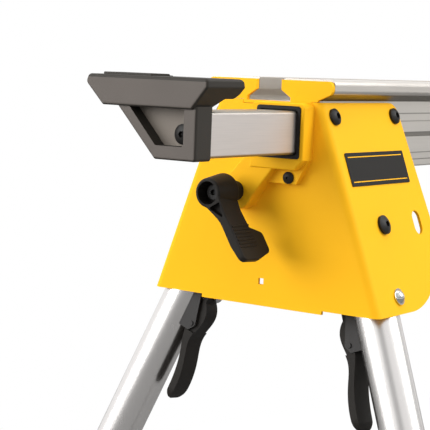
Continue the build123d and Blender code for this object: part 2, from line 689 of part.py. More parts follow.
def make_brake_shoe():
    """The shoe between cam and tube, its nose notched to fit the tube's corner."""
    _, _, length = shoe_direction()
    start = CAM_RADIUS + CAM_THROW + SEAT_CLEARANCE
    end = length + SHOE_NOSE_LEG
    bar = Pos((start + end) / 2, 0) * Rectangle(end - start, SHOE_WIDTH)
    depth = CAM_POCKET_FLOOR - 2 * SEAT_CLEARANCE
    shoe = extrude(shoe_plane(-CAM_POCKET_FLOOR + SEAT_CLEARANCE) * bar, depth)
    gap = SEAT_CLEARANCE
    tube = block(-OVERRUN, OVERRUN, -TUBE_OFFSET - TUBE_SIZE, -TUBE_OFFSET + TUBE_SIZE / 2 + gap,
                 -TUBE_DEPTH - TUBE_SIZE / 2 - gap, 0)
    reach = SHOE_NOSE_LEG / 2
    corner_y = -TUBE_OFFSET + TUBE_SIZE / 2
    corner_z = -TUBE_DEPTH - TUBE_SIZE / 2
    keep = block(-OVERRUN, OVERRUN, -OVERRUN, HUB_OFFSET + OVERRUN,
                 -HUB_DEPTH - OVERRUN, corner_z + reach)
    keep = keep & block(-OVERRUN, OVERRUN, corner_y - reach, HUB_OFFSET + OVERRUN,
                        -HUB_DEPTH - OVERRUN, corner_z + reach)
    return (shoe - tube) & keep


def make_liner():
    """The plastic sleeve that guides the extension tube, with a window for the brake shoe."""
    size = TUBE_SIZE + 2 * TUBE_CLEARANCE
    outer = square_bar(LINER_SIZE, LINER_ROUND, -BOX_PROUD - LINER_PROUD, BEAM_END_GAP)
    outer += chamber_bar(SEAT_CLEARANCE, LINER_ROUND, BEAM_END_GAP, LINER_REACH)
    inner = square_bar(size, TUBE_ROUND, -OVERRUN, OVERRUN)
    mouth = square_bar(size + LINER_MOUTH, TUBE_ROUND, -OVERRUN, -BOX_PROUD + LINER_MOUTH)
    _, _, length = shoe_direction()
    width = SHOE_WIDTH + 2 * SEAT_CLEARANCE
    opening = Pos(length, 0) * Rectangle(2 * SHOE_NOSE_LEG, width)
    window = extrude(shoe_plane(-CAM_POCKET_FLOOR) * opening, CAM_POCKET_FLOOR)
    return outer - inner - mouth - window


def make_casting_bolt():
    """The button-head bolt through the lug, with its nut behind the sheet."""
    place = Plane(origin=(-LUG_PROUD, -LUG_BOLT_OFFSET, -LUG_BOLT_DEPTH), x_dir=(0, 1, 0), z_dir=(-1, 0, 0))
    bolt = dome_head(CAST_HEAD_RADIUS, CAST_HEAD_HEIGHT, 0)
    bolt -= socket_cut(SOCKET_RADIUS / 2, CAST_HEAD_HEIGHT / 2, CAST_HEAD_HEIGHT)
    bolt += rod(CAST_BOLT_RADIUS, -CAST_BOLT_REACH, 0)
    nut = Pos(0, 0, -LUG_PROUD - SHEET - CAST_HEAD_HEIGHT) * extrude(
        RegularPolygon(CAST_HEAD_RADIUS, 6), CAST_HEAD_HEIGHT)
    return place.location * (bolt + nut)


# Lock lever

def lever_plane(x):
    """A plane square to X on the lever's axis, its x axis pointing down the lever's arm."""
    lean = math.radians(LEVER_LEAN)
    return Plane(origin=(x, HUB_OFFSET, -HUB_DEPTH), x_dir=(0, -math.sin(lean), -math.cos(lean)),
                 z_dir=(1, 0, 0))


def lever_end_view():
    """The lever seen from the stand's end, across against length: a neck that thins into a flat paddle."""
    thumb = [
        (0, -LEVER_NECK_HALF), (LEVER_WAIST, -LEVER_WAIST_FACE), (PADDLE_TOP, -PADDLE_FACE),
        (LEVER_ARM_LENGTH, -PADDLE_FACE), (LEVER_ARM_LENGTH, PADDLE_TIP_THICKNESS - PADDLE_FACE),
    ]
    taper = [(LEVER_TAPER * down, LEVER_NECK_HALF * across) for down, across in LEVER_TAPER_SHARES]
    edges = [Polyline(*thumb), Line(thumb[-1], (LEVER_ARM_LENGTH * 3 / 4, 0)),
             Line((LEVER_ARM_LENGTH * 3 / 4, 0), taper[-1]), Spline(taper), Line(taper[0], thumb[0])]
    return make_face(Curve() + edges)


def lever_side_view():
    """The lever seen from the thumb's side: a slim arm, and a paddle that reaches back to the sheet."""
    far = LEVER_ARM_LENGTH - PADDLE_END_SLANT
    outline = [
        (0, -LEVER_FRONT), (LEVER_ARM_LENGTH - PADDLE_END_BOW, -LEVER_FRONT),
        (LEVER_ARM_LENGTH, -(LEVER_FRONT + LEVER_BACK) / 2), (far, -LEVER_BACK),
        (PADDLE_TOP + PADDLE_BEND, -LEVER_BACK), (PADDLE_TOP, -LEVER_HUB_BACK), (0, -LEVER_HUB_BACK),
    ]
    face = make_face(Polyline(*outline, close=True))
    corners = [v for v in face.vertices() if v.X > PADDLE_TOP + RUNNING_CLEARANCE]
    return fillet(corners, PADDLE_ROUND)


def lever_arm():
    """What the two views of the lever have in common, its front and the paddle's tip rounded."""
    reach = LEVER_FRONT - LEVER_BACK
    end_view = extrude(lever_plane(-LEVER_FRONT) * lever_end_view(), reach)
    lean = math.radians(LEVER_LEAN)
    side = Plane(origin=(0, HUB_OFFSET, -HUB_DEPTH), x_dir=(0, -math.sin(lean), -math.cos(lean)),
                 z_dir=(0, -math.cos(lean), math.sin(lean)))
    arm = end_view & extrude(side * lever_side_view(), LEVER_ARM_LENGTH, both=True)
    low = -HUB_DEPTH - PADDLE_TOP - LEVER_ROUND
    edges = [e for e in arm.edges() if e.center().Z < low or abs(e.center().X + LEVER_FRONT) < RUNNING_CLEARANCE]
    return fillet(edges, LEVER_EDGE_ROUND)


def make_lock_lever():
    """The moulded lever: tapered hub with a cup for the screw, arm with a pocket, ribbed paddle."""
    hub = extrude(lever_plane(-LEVER_FRONT) * Circle(LEVER_HUB_RADIUS), LEVER_FRONT - LEVER_HUB_BACK,
                  taper=-math.degrees(math.atan2(LEVER_HUB_BACK_RADIUS - LEVER_HUB_RADIUS,
                                                 LEVER_FRONT - LEVER_HUB_BACK)))
    hub = fillet(hub.edges().filter_by(GeomType.CIRCLE), LEVER_ROUND)
    lever = hub + lever_arm()
    lever += rod_x(LEVER_COLLAR_RADIUS, HUB_OFFSET, -HUB_DEPTH, -LEVER_HUB_BACK - LEVER_ROUND, -LEVER_BACK)
    lever -= rod_x(LEVER_CUP_RADIUS, HUB_OFFSET, -HUB_DEPTH, -OVERRUN - LEVER_FRONT,
                   -LEVER_FRONT + LEVER_CUP_DEPTH)
    length = LEVER_POCKET_END - LEVER_POCKET_START
    corners = [(LEVER_POCKET_START + length * down, -LEVER_NECK_HALF * across)
               for down, across in LEVER_POCKET_SHARES]
    pocket = make_face(Polyline(*corners, close=True))
    pocket = fillet(pocket.vertices(), LEVER_EDGE_ROUND)
    lever -= extrude(lever_plane(-LEVER_FRONT) * pocket, LEVER_POCKET_DEPTH, both=True)
    frame = lever_plane(0).location
    for index in range(LEVER_RIB_COUNT):
        down = LEVER_RIB_START + index * LEVER_RIB_PITCH
        rib = rod(LEVER_RIB_RADIUS, -LEVER_FRONT + LEVER_ROUND, -LEVER_HUB_BACK)
        lever += frame * Pos(down, -PADDLE_FACE + LEVER_RIB_SINK, 0) * rib
    square = 2 * SHAFT_RADIUS / math.sqrt(2) + 2 * NEST_CLEARANCE
    drive = lever_plane(-LEVER_FRONT) * Rectangle(square, square)
    lever -= extrude(drive, LEVER_FRONT)
    return lever


def make_lock_shaft():
    """The shaft with its square drive, cam, tail and nut, held in the lever by a socket screw."""
    square = 2 * SHAFT_RADIUS / math.sqrt(2)
    drive_start = -LEVER_FRONT + LEVER_CUP_DEPTH
    shaft = extrude(lever_plane(drive_start) * Rectangle(square, square), -LEVER_BACK - drive_start)
    shaft += rod_x(SHAFT_RADIUS, HUB_OFFSET, -HUB_DEPTH, -LEVER_BACK, -CAM_POCKET_FLOOR + SEAT_CLEARANCE)
    y, z, _ = shoe_direction()
    shaft += rod_x(CAM_RADIUS, HUB_OFFSET + y * CAM_THROW, -HUB_DEPTH + z * CAM_THROW,
                   -CAM_POCKET_FLOOR + SEAT_CLEARANCE, -SEAT_CLEARANCE)
    shaft += rod_x(SHAFT_TAIL_RADIUS, HUB_OFFSET, -HUB_DEPTH, -SEAT_CLEARANCE, SHAFT_TAIL_REACH)
    nut = Plane(origin=(SHEET + SEAT_CLEARANCE, HUB_OFFSET, -HUB_DEPTH), x_dir=(0, 1, 0), z_dir=(1, 0, 0))
    shaft += extrude(nut * RegularPolygon(SHAFT_NUT_RADIUS, 6), SHAFT_NUT_HEIGHT)
    head = rod_x(SCREW_HEAD_RADIUS, HUB_OFFSET, -HUB_DEPTH, drive_start - SCREW_HEAD_HEIGHT, drive_start)
    place = Plane(origin=(drive_start - SCREW_HEAD_HEIGHT, HUB_OFFSET, -HUB_DEPTH),
                  x_dir=(0, 1, 0), z_dir=(-1, 0, 0))
    head -= place.location * socket_cut(SOCKET_RADIUS, SOCKET_DEPTH, 0)
    return shaft + head


# Extension tube and end support

def make_extension_tube():
    return square_tube(TUBE_SIZE, TUBE_WALL, TUBE_ROUND, -TUBE_START, TUBE_LENGTH - TUBE_START)


def make_tube_glide():
    """The plastic block round the tube's hidden end, which runs inside the beam."""
    end = TUBE_LENGTH - TUBE_START
    outer = chamber_bar(SEAT_CLEARANCE, LINER_ROUND, end - GLIDE_LENGTH, end)
    size = TUBE_SIZE + 2 * NEST_CLEARANCE
    return outer - square_bar(size, TUBE_ROUND, end - 2 * GLIDE_LENGTH, end + OVERRUN)


def support_bar():
    """The bar that the work rests on: slanted ends, rounded nose behind, sloping underside."""
    low = SUPPORT_TOP - SUPPORT_BAR_HEIGHT
    shoulder = SUPPORT_TOP - SUPPORT_TIP_DROP
    front = make_face(Polyline(
        (SUPPORT_LEFT, SUPPORT_TOP), (-SUPPORT_RIGHT, SUPPORT_TOP), (-SUPPORT_RIGHT, shoulder),
        (-SUPPORT_RIGHT_FOOT, low), (SUPPORT_LEFT_FOOT, low), (SUPPORT_LEFT + SUPPORT_ROUND, shoulder),
        close=True))
    front = fillet([v for v in front.vertices() if v.X < 0 or v.Y < low / 2], SUPPORT_ROUND)
    tip = [v for v in front.vertices() if v.X > SUPPORT_LEFT - RUNNING_CLEARANCE]
    front = fillet(tip, SUPPORT_TIP_ROUND)
    bar = extrude(Plane.YZ.offset(-SUPPORT_FRONT) * front, SUPPORT_FRONT - SUPPORT_BACK)
    under = SUPPORT_TOP - SUPPORT_NOSE_HEIGHT
    nose_start = -SUPPORT_BACK - SUPPORT_NOSE_REACH
    side = make_face(Polyline(
        (-SUPPORT_FRONT, SUPPORT_TOP), (-SUPPORT_BACK, SUPPORT_TOP), (-SUPPORT_BACK, under),
        (nose_start, under), (nose_start - SUPPORT_BAR_SLANT, low), (-SUPPORT_FRONT, low), close=True))
    nose = [v for v in side.vertices() if abs(v.X + SUPPORT_BACK) < RUNNING_CLEARANCE]
    side = fillet(nose, SUPPORT_NOSE_ROUND)
    reach = SUPPORT_LEFT + OVERRUN
    bar = bar & extrude(Plane.XZ.offset(-reach) * side, 2 * reach)
    return fillet(bar.faces().sort_by(Axis.X)[0].edges(), SUPPORT_EDGE_ROUND)


def make_end_support():
    """The moulded end support: bar above, socket for the tube below, recess in front, ribs behind."""
    low = SUPPORT_TOP - SUPPORT_BAR_HEIGHT
    body = make_face(Polyline(
        (BODY_TOP_LEFT, low + SUPPORT_ROUND), (-BODY_FOOT_LEFT, -BODY_BOTTOM), (-BODY_RIGHT, -BODY_BOTTOM),
        (-BODY_RIGHT, low + SUPPORT_ROUND), close=True))
    feet = [v for v in body.vertices() if abs(v.Y + BODY_BOTTOM) < RUNNING_CLEARANCE]
    body = extrude(Plane.YZ.offset(-BODY_FRONT) * fillet(feet, SUPPORT_ROUND), BODY_FRONT - BODY_BACK)
    rim = [e for e in body.faces().sort_by(Axis.X)[0].edges() if e.center().Z < low]
    body = fillet(rim, SUPPORT_EDGE_ROUND)
    recess = make_face(Polyline(
        (RECESS_LEFT, low), (-RECESS_FOOT_LEFT, -RECESS_BOTTOM), (-RECESS_RIGHT, -RECESS_BOTTOM),
        (-RECESS_RIGHT, low), close=True))
    recess = fillet([v for v in recess.vertices() if v.Y < low - RUNNING_CLEARANCE], SUPPORT_ROUND)
    support = support_bar() + body
    support -= extrude(Plane.YZ.offset(-SUPPORT_FRONT) * recess, SUPPORT_FRONT - RECESS_FLOOR)
    support -= bar_hollow()
    support -= square_bar(TUBE_SIZE + 2 * NEST_CLEARANCE, TUBE_ROUND, -TUBE_START, -SUPPORT_BACK + OVERRUN)
    support += square_bar(TUBE_SIZE - 2 * TUBE_WALL - 2 * NEST_CLEARANCE, TUBE_ROUND / 2,
                          -TUBE_START - RUNNING_CLEARANCE, -TUBE_START + PLUG_LENGTH)
    support -= rod_x(FLANGE_BOLT_RADIUS + NEST_CLEARANCE, -TUBE_OFFSET, -TUBE_DEPTH,
                     -SUPPORT_FRONT, -RECESS_FLOOR + SUPPORT_BOLT_REACH + NEST_CLEARANCE)
    return support - stop_recess()


def bar_hollow():
    """The bar's hollow underside, with the ribs left standing across it."""
    top = SUPPORT_TOP - STOP_THICKNESS - SUPPORT_WALL
    under = SUPPORT_TOP - SUPPORT_NOSE_HEIGHT
    front = -BODY_BACK + SUPPORT_WALL
    back = -SUPPORT_BACK - SUPPORT_WALL
    left = SUPPORT_LEFT_FOOT
    span = (left + SUPPORT_RIGHT_FOOT - SUPPORT_WALL) / 4
    cells = []
    for index in range(4):
        start = -SUPPORT_RIGHT_FOOT + SUPPORT_WALL + index * span
        cells.append(block(front, back, start, start + span - RIB_THICKNESS, under - OVERRUN, top))
    return cells


def stop_recess():
    """The shallow seat of the work stop in the bar's top, with bores for its pin."""
    gap = SEAT_CLEARANCE + NEST_CLEARANCE
    floor = STOP_TOP - STOP_THICKNESS - gap
    seat = block(-STOP_FRONT - gap, -STOP_AXIS + STOP_KNUCKLE_RADIUS + gap,
                 STOP_RIGHT - gap, STOP_LEFT + gap, floor, OVERRUN)
    axis_z = STOP_TOP - STOP_KNUCKLE_RADIUS
    knuckle = rod_y(STOP_KNUCKLE_RADIUS + gap, -STOP_AXIS, axis_z, STOP_RIGHT - gap, STOP_LEFT + gap)
    bores = rod_y(STOP_PIN_RADIUS + RUNNING_CLEARANCE, -STOP_AXIS, axis_z,
                  STOP_RIGHT - STOP_PIN_REACH - gap, STOP_LEFT + STOP_PIN_REACH + gap)
    return [seat, knuckle, bores]


def make_work_stop():
    """The plate that flips up to stop the work at a set length, with its hinge pin."""
    axis_z = STOP_TOP - STOP_KNUCKLE_RADIUS
    plate = block(-STOP_FRONT, -STOP_AXIS, STOP_RIGHT, STOP_LEFT, STOP_TOP - STOP_THICKNESS, STOP_TOP)
    rim = plate.edges().filter_by(Axis.Y).sort_by(Axis.X)[:2]
    plate = fillet(rim, STOP_ROUND)
    plate += rod_y(STOP_KNUCKLE_RADIUS, -STOP_AXIS, axis_z, STOP_RIGHT, STOP_LEFT)
    return plate + rod_y(STOP_PIN_RADIUS, -STOP_AXIS, axis_z, STOP_RIGHT - STOP_PIN_REACH,
                         STOP_LEFT + STOP_PIN_REACH)


def make_support_bolt():
    """The broad button-head bolt that holds the end support on the tube's plug."""
    place = Plane(origin=(-RECESS_FLOOR, -TUBE_OFFSET, -TUBE_DEPTH), x_dir=(0, 1, 0), z_dir=(-1, 0, 0))
    bolt = dome_head(SUPPORT_HEAD_RADIUS, SUPPORT_HEAD_HEIGHT, 0)
    bolt -= socket_cut(SOCKET_RADIUS, SOCKET_DEPTH, SUPPORT_HEAD_HEIGHT)
    return place.location * (bolt + rod(FLANGE_BOLT_RADIUS, -SUPPORT_BOLT_REACH, 0))


# Legs, drawn in the leg's frame: x down the leg, z outwards, y across

def floor_cut():
    """Everything below the floor, in the end frame."""
    reach = OVERALL_BEAM
    return block(-reach, reach, -reach, reach, -CAST_TOP - reach, -CAST_TOP)


def leg_end():
    """Where the tube stops, a little above the floor."""
    slope = math.cos(LEG_SLANT) * math.cos(LEG_TILT)
    droop = LEG_RADIUS * math.sqrt(1 - slope ** 2)
    return LEG_TO_FLOOR - (LEG_END_GAP + droop) / slope


def along_leg(shape):
    """Turns a shape drawn along z so that it runs down the leg's x axis."""
    return Rot(0, 90, 0) * Rot(0, 0, 90) * shape


def make_leg_tube(side):
    """The round leg tube with its cross holes for the pivot and the lock pin."""
    tube = rod(LEG_RADIUS, -LEG_TOP_REACH, leg_end()) - rod(LEG_RADIUS - LEG_WALL, -OVERRUN, OVERALL_BEAM)
    tube = along_leg(tube)
    aside = -side * LOCK_PIN_ASIDE
    tube -= rod(PIVOT_BOLT_RADIUS + RUNNING_CLEARANCE, -OVERRUN, OVERRUN)
    tube -= Pos(LOCK_RADIUS_DOWN, aside, 0) * rod(LOCK_PIN_RADIUS + RUNNING_CLEARANCE, -OVERRUN, OVERRUN)
    return leg_plane(side).location * tube


def make_leg_plug(side):
    """The plug in the tube's top end, with the pivot's bush moulded in."""
    plug = rod(LEG_RADIUS - LEG_WALL - NEST_CLEARANCE, -LEG_TOP_REACH, LEG_PLUG_REACH)
    plug += rod(LEG_RADIUS, -LEG_TOP_REACH - LEG_PLUG_CAP, -LEG_TOP_REACH - RUNNING_CLEARANCE)
    plug += rod(LEG_RADIUS - LEG_WALL - NEST_CLEARANCE, -LEG_TOP_REACH - LEG_PLUG_CAP, LEG_PLUG_REACH)
    plug = along_leg(plug)
    plug -= rod(PIVOT_BOLT_RADIUS + RUNNING_CLEARANCE, -OVERRUN, OVERRUN)
    return leg_plane(side).location * plug


def make_leg_foot(side):
    """The rubber foot: a boot round the tube's end, cut level with the floor."""
    start = LEG_TO_FLOOR - FOOT_HEIGHT
    boot = rod(FOOT_RADIUS, start, LEG_TO_FLOOR + FOOT_RADIUS)
    rim = boot.edges().filter_by(GeomType.CIRCLE).sort_by(Axis.Z)[0]
    boot = fillet(rim, FOOT_LIP)
    boot -= rod(LEG_RADIUS + NEST_CLEARANCE, -OVERRUN, leg_end() + NEST_CLEARANCE)
    return leg_plane(side).location * along_leg(boot) - floor_cut()


def make_lever_bracket(side):
    """Two ears and a web on the leg's inner side, with the pin that carries the release lever."""
    base = -LEG_RADIUS * 2 / 3
    rise = RELEASE_PIVOT_INSET + RELEASE_PIN_RADIUS * 2
    outline = [
        (BRACKET_TOP, base), (BRACKET_TOP, -LEG_RADIUS - BRACKET_WEB), (RELEASE_PIVOT_DOWN, -rise),
        (BRACKET_BOTTOM, -RELEASE_PIVOT_INSET), (BRACKET_BOTTOM, base),
    ]
    ears = make_face(Polyline(*outline, close=True))
    tip = [v for v in ears.vertices() if v.Y < -RELEASE_PIVOT_INSET + RUNNING_CLEARANCE]
    ears = fillet(tip, RELEASE_PIN_RADIUS)
    bracket = extrude(Plane.XZ.offset(-BRACKET_HALF) * ears, 2 * BRACKET_HALF)
    gap = BRACKET_HALF - BRACKET_WALL
    bracket -= block(-OVERRUN, BRACKET_BOTTOM + OVERRUN, -gap, gap, -OVERRUN, -LEG_RADIUS - BRACKET_WEB)
    bracket -= block(-OVERRUN, RELEASE_PIVOT_DOWN - RELEASE_PIN_RADIUS * 3, -gap, gap, -OVERRUN, OVERRUN)
    bracket -= along_leg(rod(LEG_RADIUS + RUNNING_CLEARANCE, -OVERRUN, OVERALL_BEAM))
    bracket += rod_y(RELEASE_PIN_RADIUS, RELEASE_PIVOT_DOWN, -RELEASE_PIVOT_INSET,
                     -BRACKET_HALF - BRACKET_WEB, BRACKET_HALF + BRACKET_WEB)
    return leg_plane(side).location * bracket


def release_point(share):
    """A point of the release lever's side view from its shares of length and depth."""
    return RELEASE_START + share[0] * RELEASE_LENGTH, -RELEASE_NEAR - share[1] * RELEASE_DEPTH


def release_profile():
    """Side view of the release lever: flat top arm, bulge at the pivot, S-shaped handle."""
    inner = [release_point(share) for share in RELEASE_INNER_SHARES]
    outer = [release_point(share) for share in RELEASE_OUTER_SHARES]
    top, toe, heel = [release_point(share) for share in RELEASE_ARM_SHARES]
    edges = [
        Line(top, inner[0]),
        Spline(inner),
        Spline([inner[-1], release_point(RELEASE_TIP_SHARE), outer[0]]),
        Spline(outer),
        Line(outer[-1], heel),
        Line(heel, toe),
        Line(toe, top),
    ]
    return make_face(Curve() + edges)


def make_release_lever(side):
    """The moulded lever that draws the lock pin, forked round the pin's neck."""
    lever = extrude(Plane.XZ.offset(-RELEASE_HALF) * release_profile(), 2 * RELEASE_HALF)
    arm_end = RELEASE_PIVOT_DOWN + 3 * RELEASE_PIN_RADIUS
    lever -= block(0, arm_end, RELEASE_TOP_HALF, OVERRUN, -OVERRUN, 0)
    lever -= block(0, arm_end, -OVERRUN, -RELEASE_TOP_HALF, -OVERRUN, 0)
    lever -= rod_y(RELEASE_PIN_RADIUS + RUNNING_CLEARANCE, RELEASE_PIVOT_DOWN, -RELEASE_PIVOT_INSET,
                   -OVERRUN, OVERRUN)
    aside = -side * LOCK_PIN_ASIDE
    fork = LOCK_PIN_RADIUS + SEAT_CLEARANCE
    slot = block(0, LOCK_RADIUS_DOWN, aside - fork, aside + fork, -LOCK_HEAD_INSET, -LEG_RADIUS)
    slot += Pos(LOCK_RADIUS_DOWN, aside, 0) * rod(fork, -LOCK_HEAD_INSET, -LEG_RADIUS)
    lever -= slot
    return leg_plane(side).location * lever


def lock_tip():
    """How far the drawn pin's tip stands from the leg's axis, just inside the flange."""
    skew = LEG_TILT - FLARE
    inside = (PIVOT_INSET - SHEET) / math.cos(skew) - LOCK_RADIUS_DOWN * math.tan(skew)
    return inside - SEAT_CLEARANCE


def make_lock_pin(side):
    """The lock pin with its collar and pull head."""
    aside = -side * LOCK_PIN_ASIDE
    pin = rod(LOCK_PIN_RADIUS, -LOCK_HEAD_INSET - LOCK_HEAD_THICKNESS, lock_tip())
    tip = pin.edges().filter_by(GeomType.CIRCLE).sort_by(Axis.Z)[-1]
    pin = chamfer(tip, LOCK_PIN_RADIUS / 4)
    pin += rod(LOCK_COLLAR_RADIUS, -LOCK_COLLAR_INSET, -LOCK_COLLAR_INSET + LOCK_COLLAR_THICKNESS)
    pin += rod(LOCK_HEAD_RADIUS, -LOCK_HEAD_INSET - LOCK_HEAD_THICKNESS, -LOCK_HEAD_INSET)
    return leg_plane(side).location * Pos(LOCK_RADIUS_DOWN, aside, 0) * pin


def make_pivot_bolt(side):
    """The leg's pivot bolt with washer and nut, fixed in the flange."""
    skew = LEG_TILT - FLARE
    outside = PIVOT_INSET / math.cos(skew) + PIVOT_HEAD_RADIUS * math.tan(skew)
    bolt = dome_head(PIVOT_HEAD_RADIUS, PIVOT_HEAD_HEIGHT, outside)
    bolt -= socket_cut(SOCKET_RADIUS, SOCKET_DEPTH, outside + PIVOT_HEAD_HEIGHT)
    nut_top = -LEG_RADIUS - PIVOT_WASHER - SEAT_CLEARANCE
    bolt += rod(PIVOT_BOLT_RADIUS, nut_top - PIVOT_NUT_HEIGHT, outside)
    nut = extrude(RegularPolygon(PIVOT_NUT_RADIUS, 6), PIVOT_NUT_HEIGHT)
    bolt += Pos(0, 0, nut_top - PIVOT_NUT_HEIGHT) * nut
    bolt += rod(PIVOT_WASHER_RADIUS, nut_top, -LEG_RADIUS - SEAT_CLEARANCE)
    inner = (PIVOT_INSET - SHEET) / math.cos(skew) - PIVOT_WASHER_RADIUS * math.tan(skew) - NEST_CLEARANCE
    bolt += rod(PIVOT_WASHER_RADIUS, LEG_RADIUS + SEAT_CLEARANCE, inner)
    return leg_plane(side).location * bolt


def make_latch_cup(side):
    """The rimmed and domed cup on the flange that takes the lock pin's tip."""
    skew = LEG_TILT - FLARE
    outside = PIVOT_INSET / math.cos(skew) - (LOCK_RADIUS_DOWN - CUP_RIM_RADIUS) * math.tan(skew)
    cup = rod(CUP_RIM_RADIUS, outside, outside + CUP_RIM)
    cup += dome(CUP_RADIUS, CUP_HEIGHT - CUP_RIM, outside + CUP_RIM)
    cup -= rod(LOCK_PIN_RADIUS + SEAT_CLEARANCE, outside - OVERRUN, outside + CUP_BORE_DEPTH)
    return leg_plane(side).location * Pos(LOCK_RADIUS_DOWN, -side * LOCK_PIN_ASIDE, 0) * cup


# Saw brackets, drawn at x = 0 with z = 0 on the beam's top

def make_bracket_rail():
    """The cross rail: an upturned channel with two long slots for the saw's feet."""
    half = RAIL_WIDTH / 2
    top = RAIL_LIFT + RAIL_HEIGHT
    outer = make_face(Polyline((-half, RAIL_LIFT), (half, RAIL_LIFT), (half, top), (-half, top), close=True))
    outer = fillet([v for v in outer.vertices() if v.Y > top / 2], RAIL_BEND)
    inside = half - RAIL_WALL
    ceiling = top - RAIL_WALL
    inner = make_face(Polyline((-inside, 0), (inside, 0), (inside, ceiling), (-inside, ceiling), close=True))
    section = Plane.XZ.offset(-RAIL_LENGTH / 2) * (outer - inner)
    rail = extrude(section, RAIL_LENGTH)
    for way in (-1, 1):
        hole = SlotOverall(SAW_SLOT_LENGTH, 2 * SAW_SLOT_RADIUS, rotation=90)
        hole = Plane.XY.offset(top - 2 * RAIL_WALL) * Pos(0, way * SAW_SLOT_SPACING / 2) * hole
        rail -= extrude(hole, 3 * RAIL_WALL)
    bore = CLAMP_PIN_RADIUS + RUNNING_CLEARANCE
    return rail - rod_x(bore, -CLAMP_AXIS_OUT, CLAMP_AXIS_UP, -RAIL_WIDTH, RAIL_WIDTH)


def hook_lip_depth():
    """How far below the beam's top a hook's lip starts, under the rail's slanted edge."""
    slope = (UNDERCUT_DEPTH - RAIL_EDGE_DEPTH) / (RAIL_HALF - BODY_HALF)
    return RAIL_EDGE_DEPTH + SEAT_CLEARANCE + HOOK_LIP * slope


def make_bracket_saddle():
    """The cast saddle in the channel, with the fixed hook under the beam's back rail."""
    half = RAIL_WIDTH / 2 - RAIL_WALL - NEST_CLEARANCE
    top = RAIL_LIFT + RAIL_HEIGHT - RAIL_WALL - NEST_CLEARANCE
    base = SEAT_CLEARANCE
    hook_in = RAIL_HALF + SEAT_CLEARANCE
    hook_out = hook_in + HOOK_THICKNESS
    lip = hook_lip_depth()
    outline = [
        (-SADDLE_HALF, base), (-SADDLE_HALF, top), (hook_out, top), (hook_out, -lip - HOOK_TOE),
        (hook_in - HOOK_LIP, -lip - HOOK_TOE), (hook_in - HOOK_LIP, -lip),
        (hook_in, -RAIL_EDGE_DEPTH - SEAT_CLEARANCE), (hook_in, base),
    ]
    saddle = prism_x(outline, -half, half)
    cell = (SADDLE_HALF * 2 - 3 * SADDLE_WALL) / 2
    inside = half - SADDLE_WALL
    for index in range(2):
        start = -SADDLE_HALF + SADDLE_WALL + index * (cell + SADDLE_WALL)
        saddle -= block(-inside, inside, start, start + cell, base + SADDLE_WALL, OVERRUN)
    return saddle


def make_bracket_jaw():
    """The sliding jaw that grips the beam's front rail from below."""
    half = RAIL_WIDTH / 2 - RAIL_WALL - SEAT_CLEARANCE
    top = RAIL_LIFT + RAIL_HEIGHT - RAIL_WALL - SEAT_CLEARANCE
    inside = RAIL_HALF + SEAT_CLEARANCE
    outside = inside + JAW_THICKNESS
    lip = hook_lip_depth()
    outline = [
        (-inside, top), (-outside, top), (-outside, -lip - HOOK_TOE), (-inside + HOOK_LIP, -lip - HOOK_TOE),
        (-inside + HOOK_LIP, -lip), (-inside, -RAIL_EDGE_DEPTH - SEAT_CLEARANCE),
    ]
    return prism_x(outline, -half, half)


def make_clamp_lever():
    """The clamp lever: cam hub with its pin, flat arm and thicker grip beyond the rail's end."""
    half = CLAMP_LEVER_HALF
    y0 = -CLAMP_AXIS_OUT
    lever = rod_x(CLAMP_HUB_RADIUS, y0 + CLAMP_THROW, CLAMP_AXIS_UP, -half, half)
    end = y0 - CLAMP_LEVER_LENGTH
    thick = CLAMP_LEVER_THICKNESS / 2
    lever += block(-half, half, end, y0, CLAMP_AXIS_UP - thick, CLAMP_AXIS_UP + thick)
    grip = block(-half - SADDLE_WALL, half + SADDLE_WALL, end, end + CLAMP_GRIP_LENGTH,
                 CLAMP_AXIS_UP - thick - RAIL_WALL / 2, CLAMP_AXIS_UP + thick + RAIL_WALL / 2)
    grip = fillet(grip.edges().filter_by(Axis.Z), CLAMP_LEVER_THICKNESS)
    lever += fillet(grip.edges().group_by(Axis.Z)[-1] + grip.edges().group_by(Axis.Z)[0], RAIL_WALL / 2)
    pin_half = RAIL_WIDTH / 2 + RAIL_WALL
    return lever + rod_x(CLAMP_PIN_RADIUS, y0, CLAMP_AXIS_UP, -pin_half, pin_half)


# Both ends and export

def at_left(shape):
    return Pos(END_X, 0, CAST_TOP) * shape


def at_right(shape):
    return Rot(0, 0, 180) * at_left(shape)


def both_ends(shapes):
    """The left end's shapes and the same ones turned to the right end."""
    return [at_left(shape) for shape in shapes] + [at_right(shape) for shape in shapes]


def save(name, shape):
    """Writes one node; a list becomes a group of separate solids."""
    if isinstance(shape, (list, tuple)):
        shape = Compound(children=[solid for item in shape for solid in item.solids()])
    export_step(shape, os.path.join("parts", name + ".step"))


def end_nodes():
    """Every piece of one end that is not a leg, by name."""
    return {
        "housing": make_housing(),
        "end_casting": make_casting(),
        "tube_liner": make_liner(),
        "extension_tube": make_extension_tube(),
        "end_support": make_end_support(),
        "support_bolt": make_support_bolt(),
        "tube_glide": make_tube_glide(),
        "work_stop": make_work_stop(),
        "lock_lever": make_lock_lever(),
        "lock_shaft": make_lock_shaft(),
        "brake_shoe": make_brake_shoe(),
    }


def leg_nodes(side):
    """Every piece that moves with one leg, by name."""
    return {
        "leg_tube": make_leg_tube(side),
        "leg_plug": make_leg_plug(side),
        "leg_foot": make_leg_foot(side),
        "lever_bracket": make_lever_bracket(side),
        "release_lever": make_release_lever(side),
        "lock_pin": make_lock_pin(side),
    }


def listed(shape):
    return shape if isinstance(shape, list) else [shape]


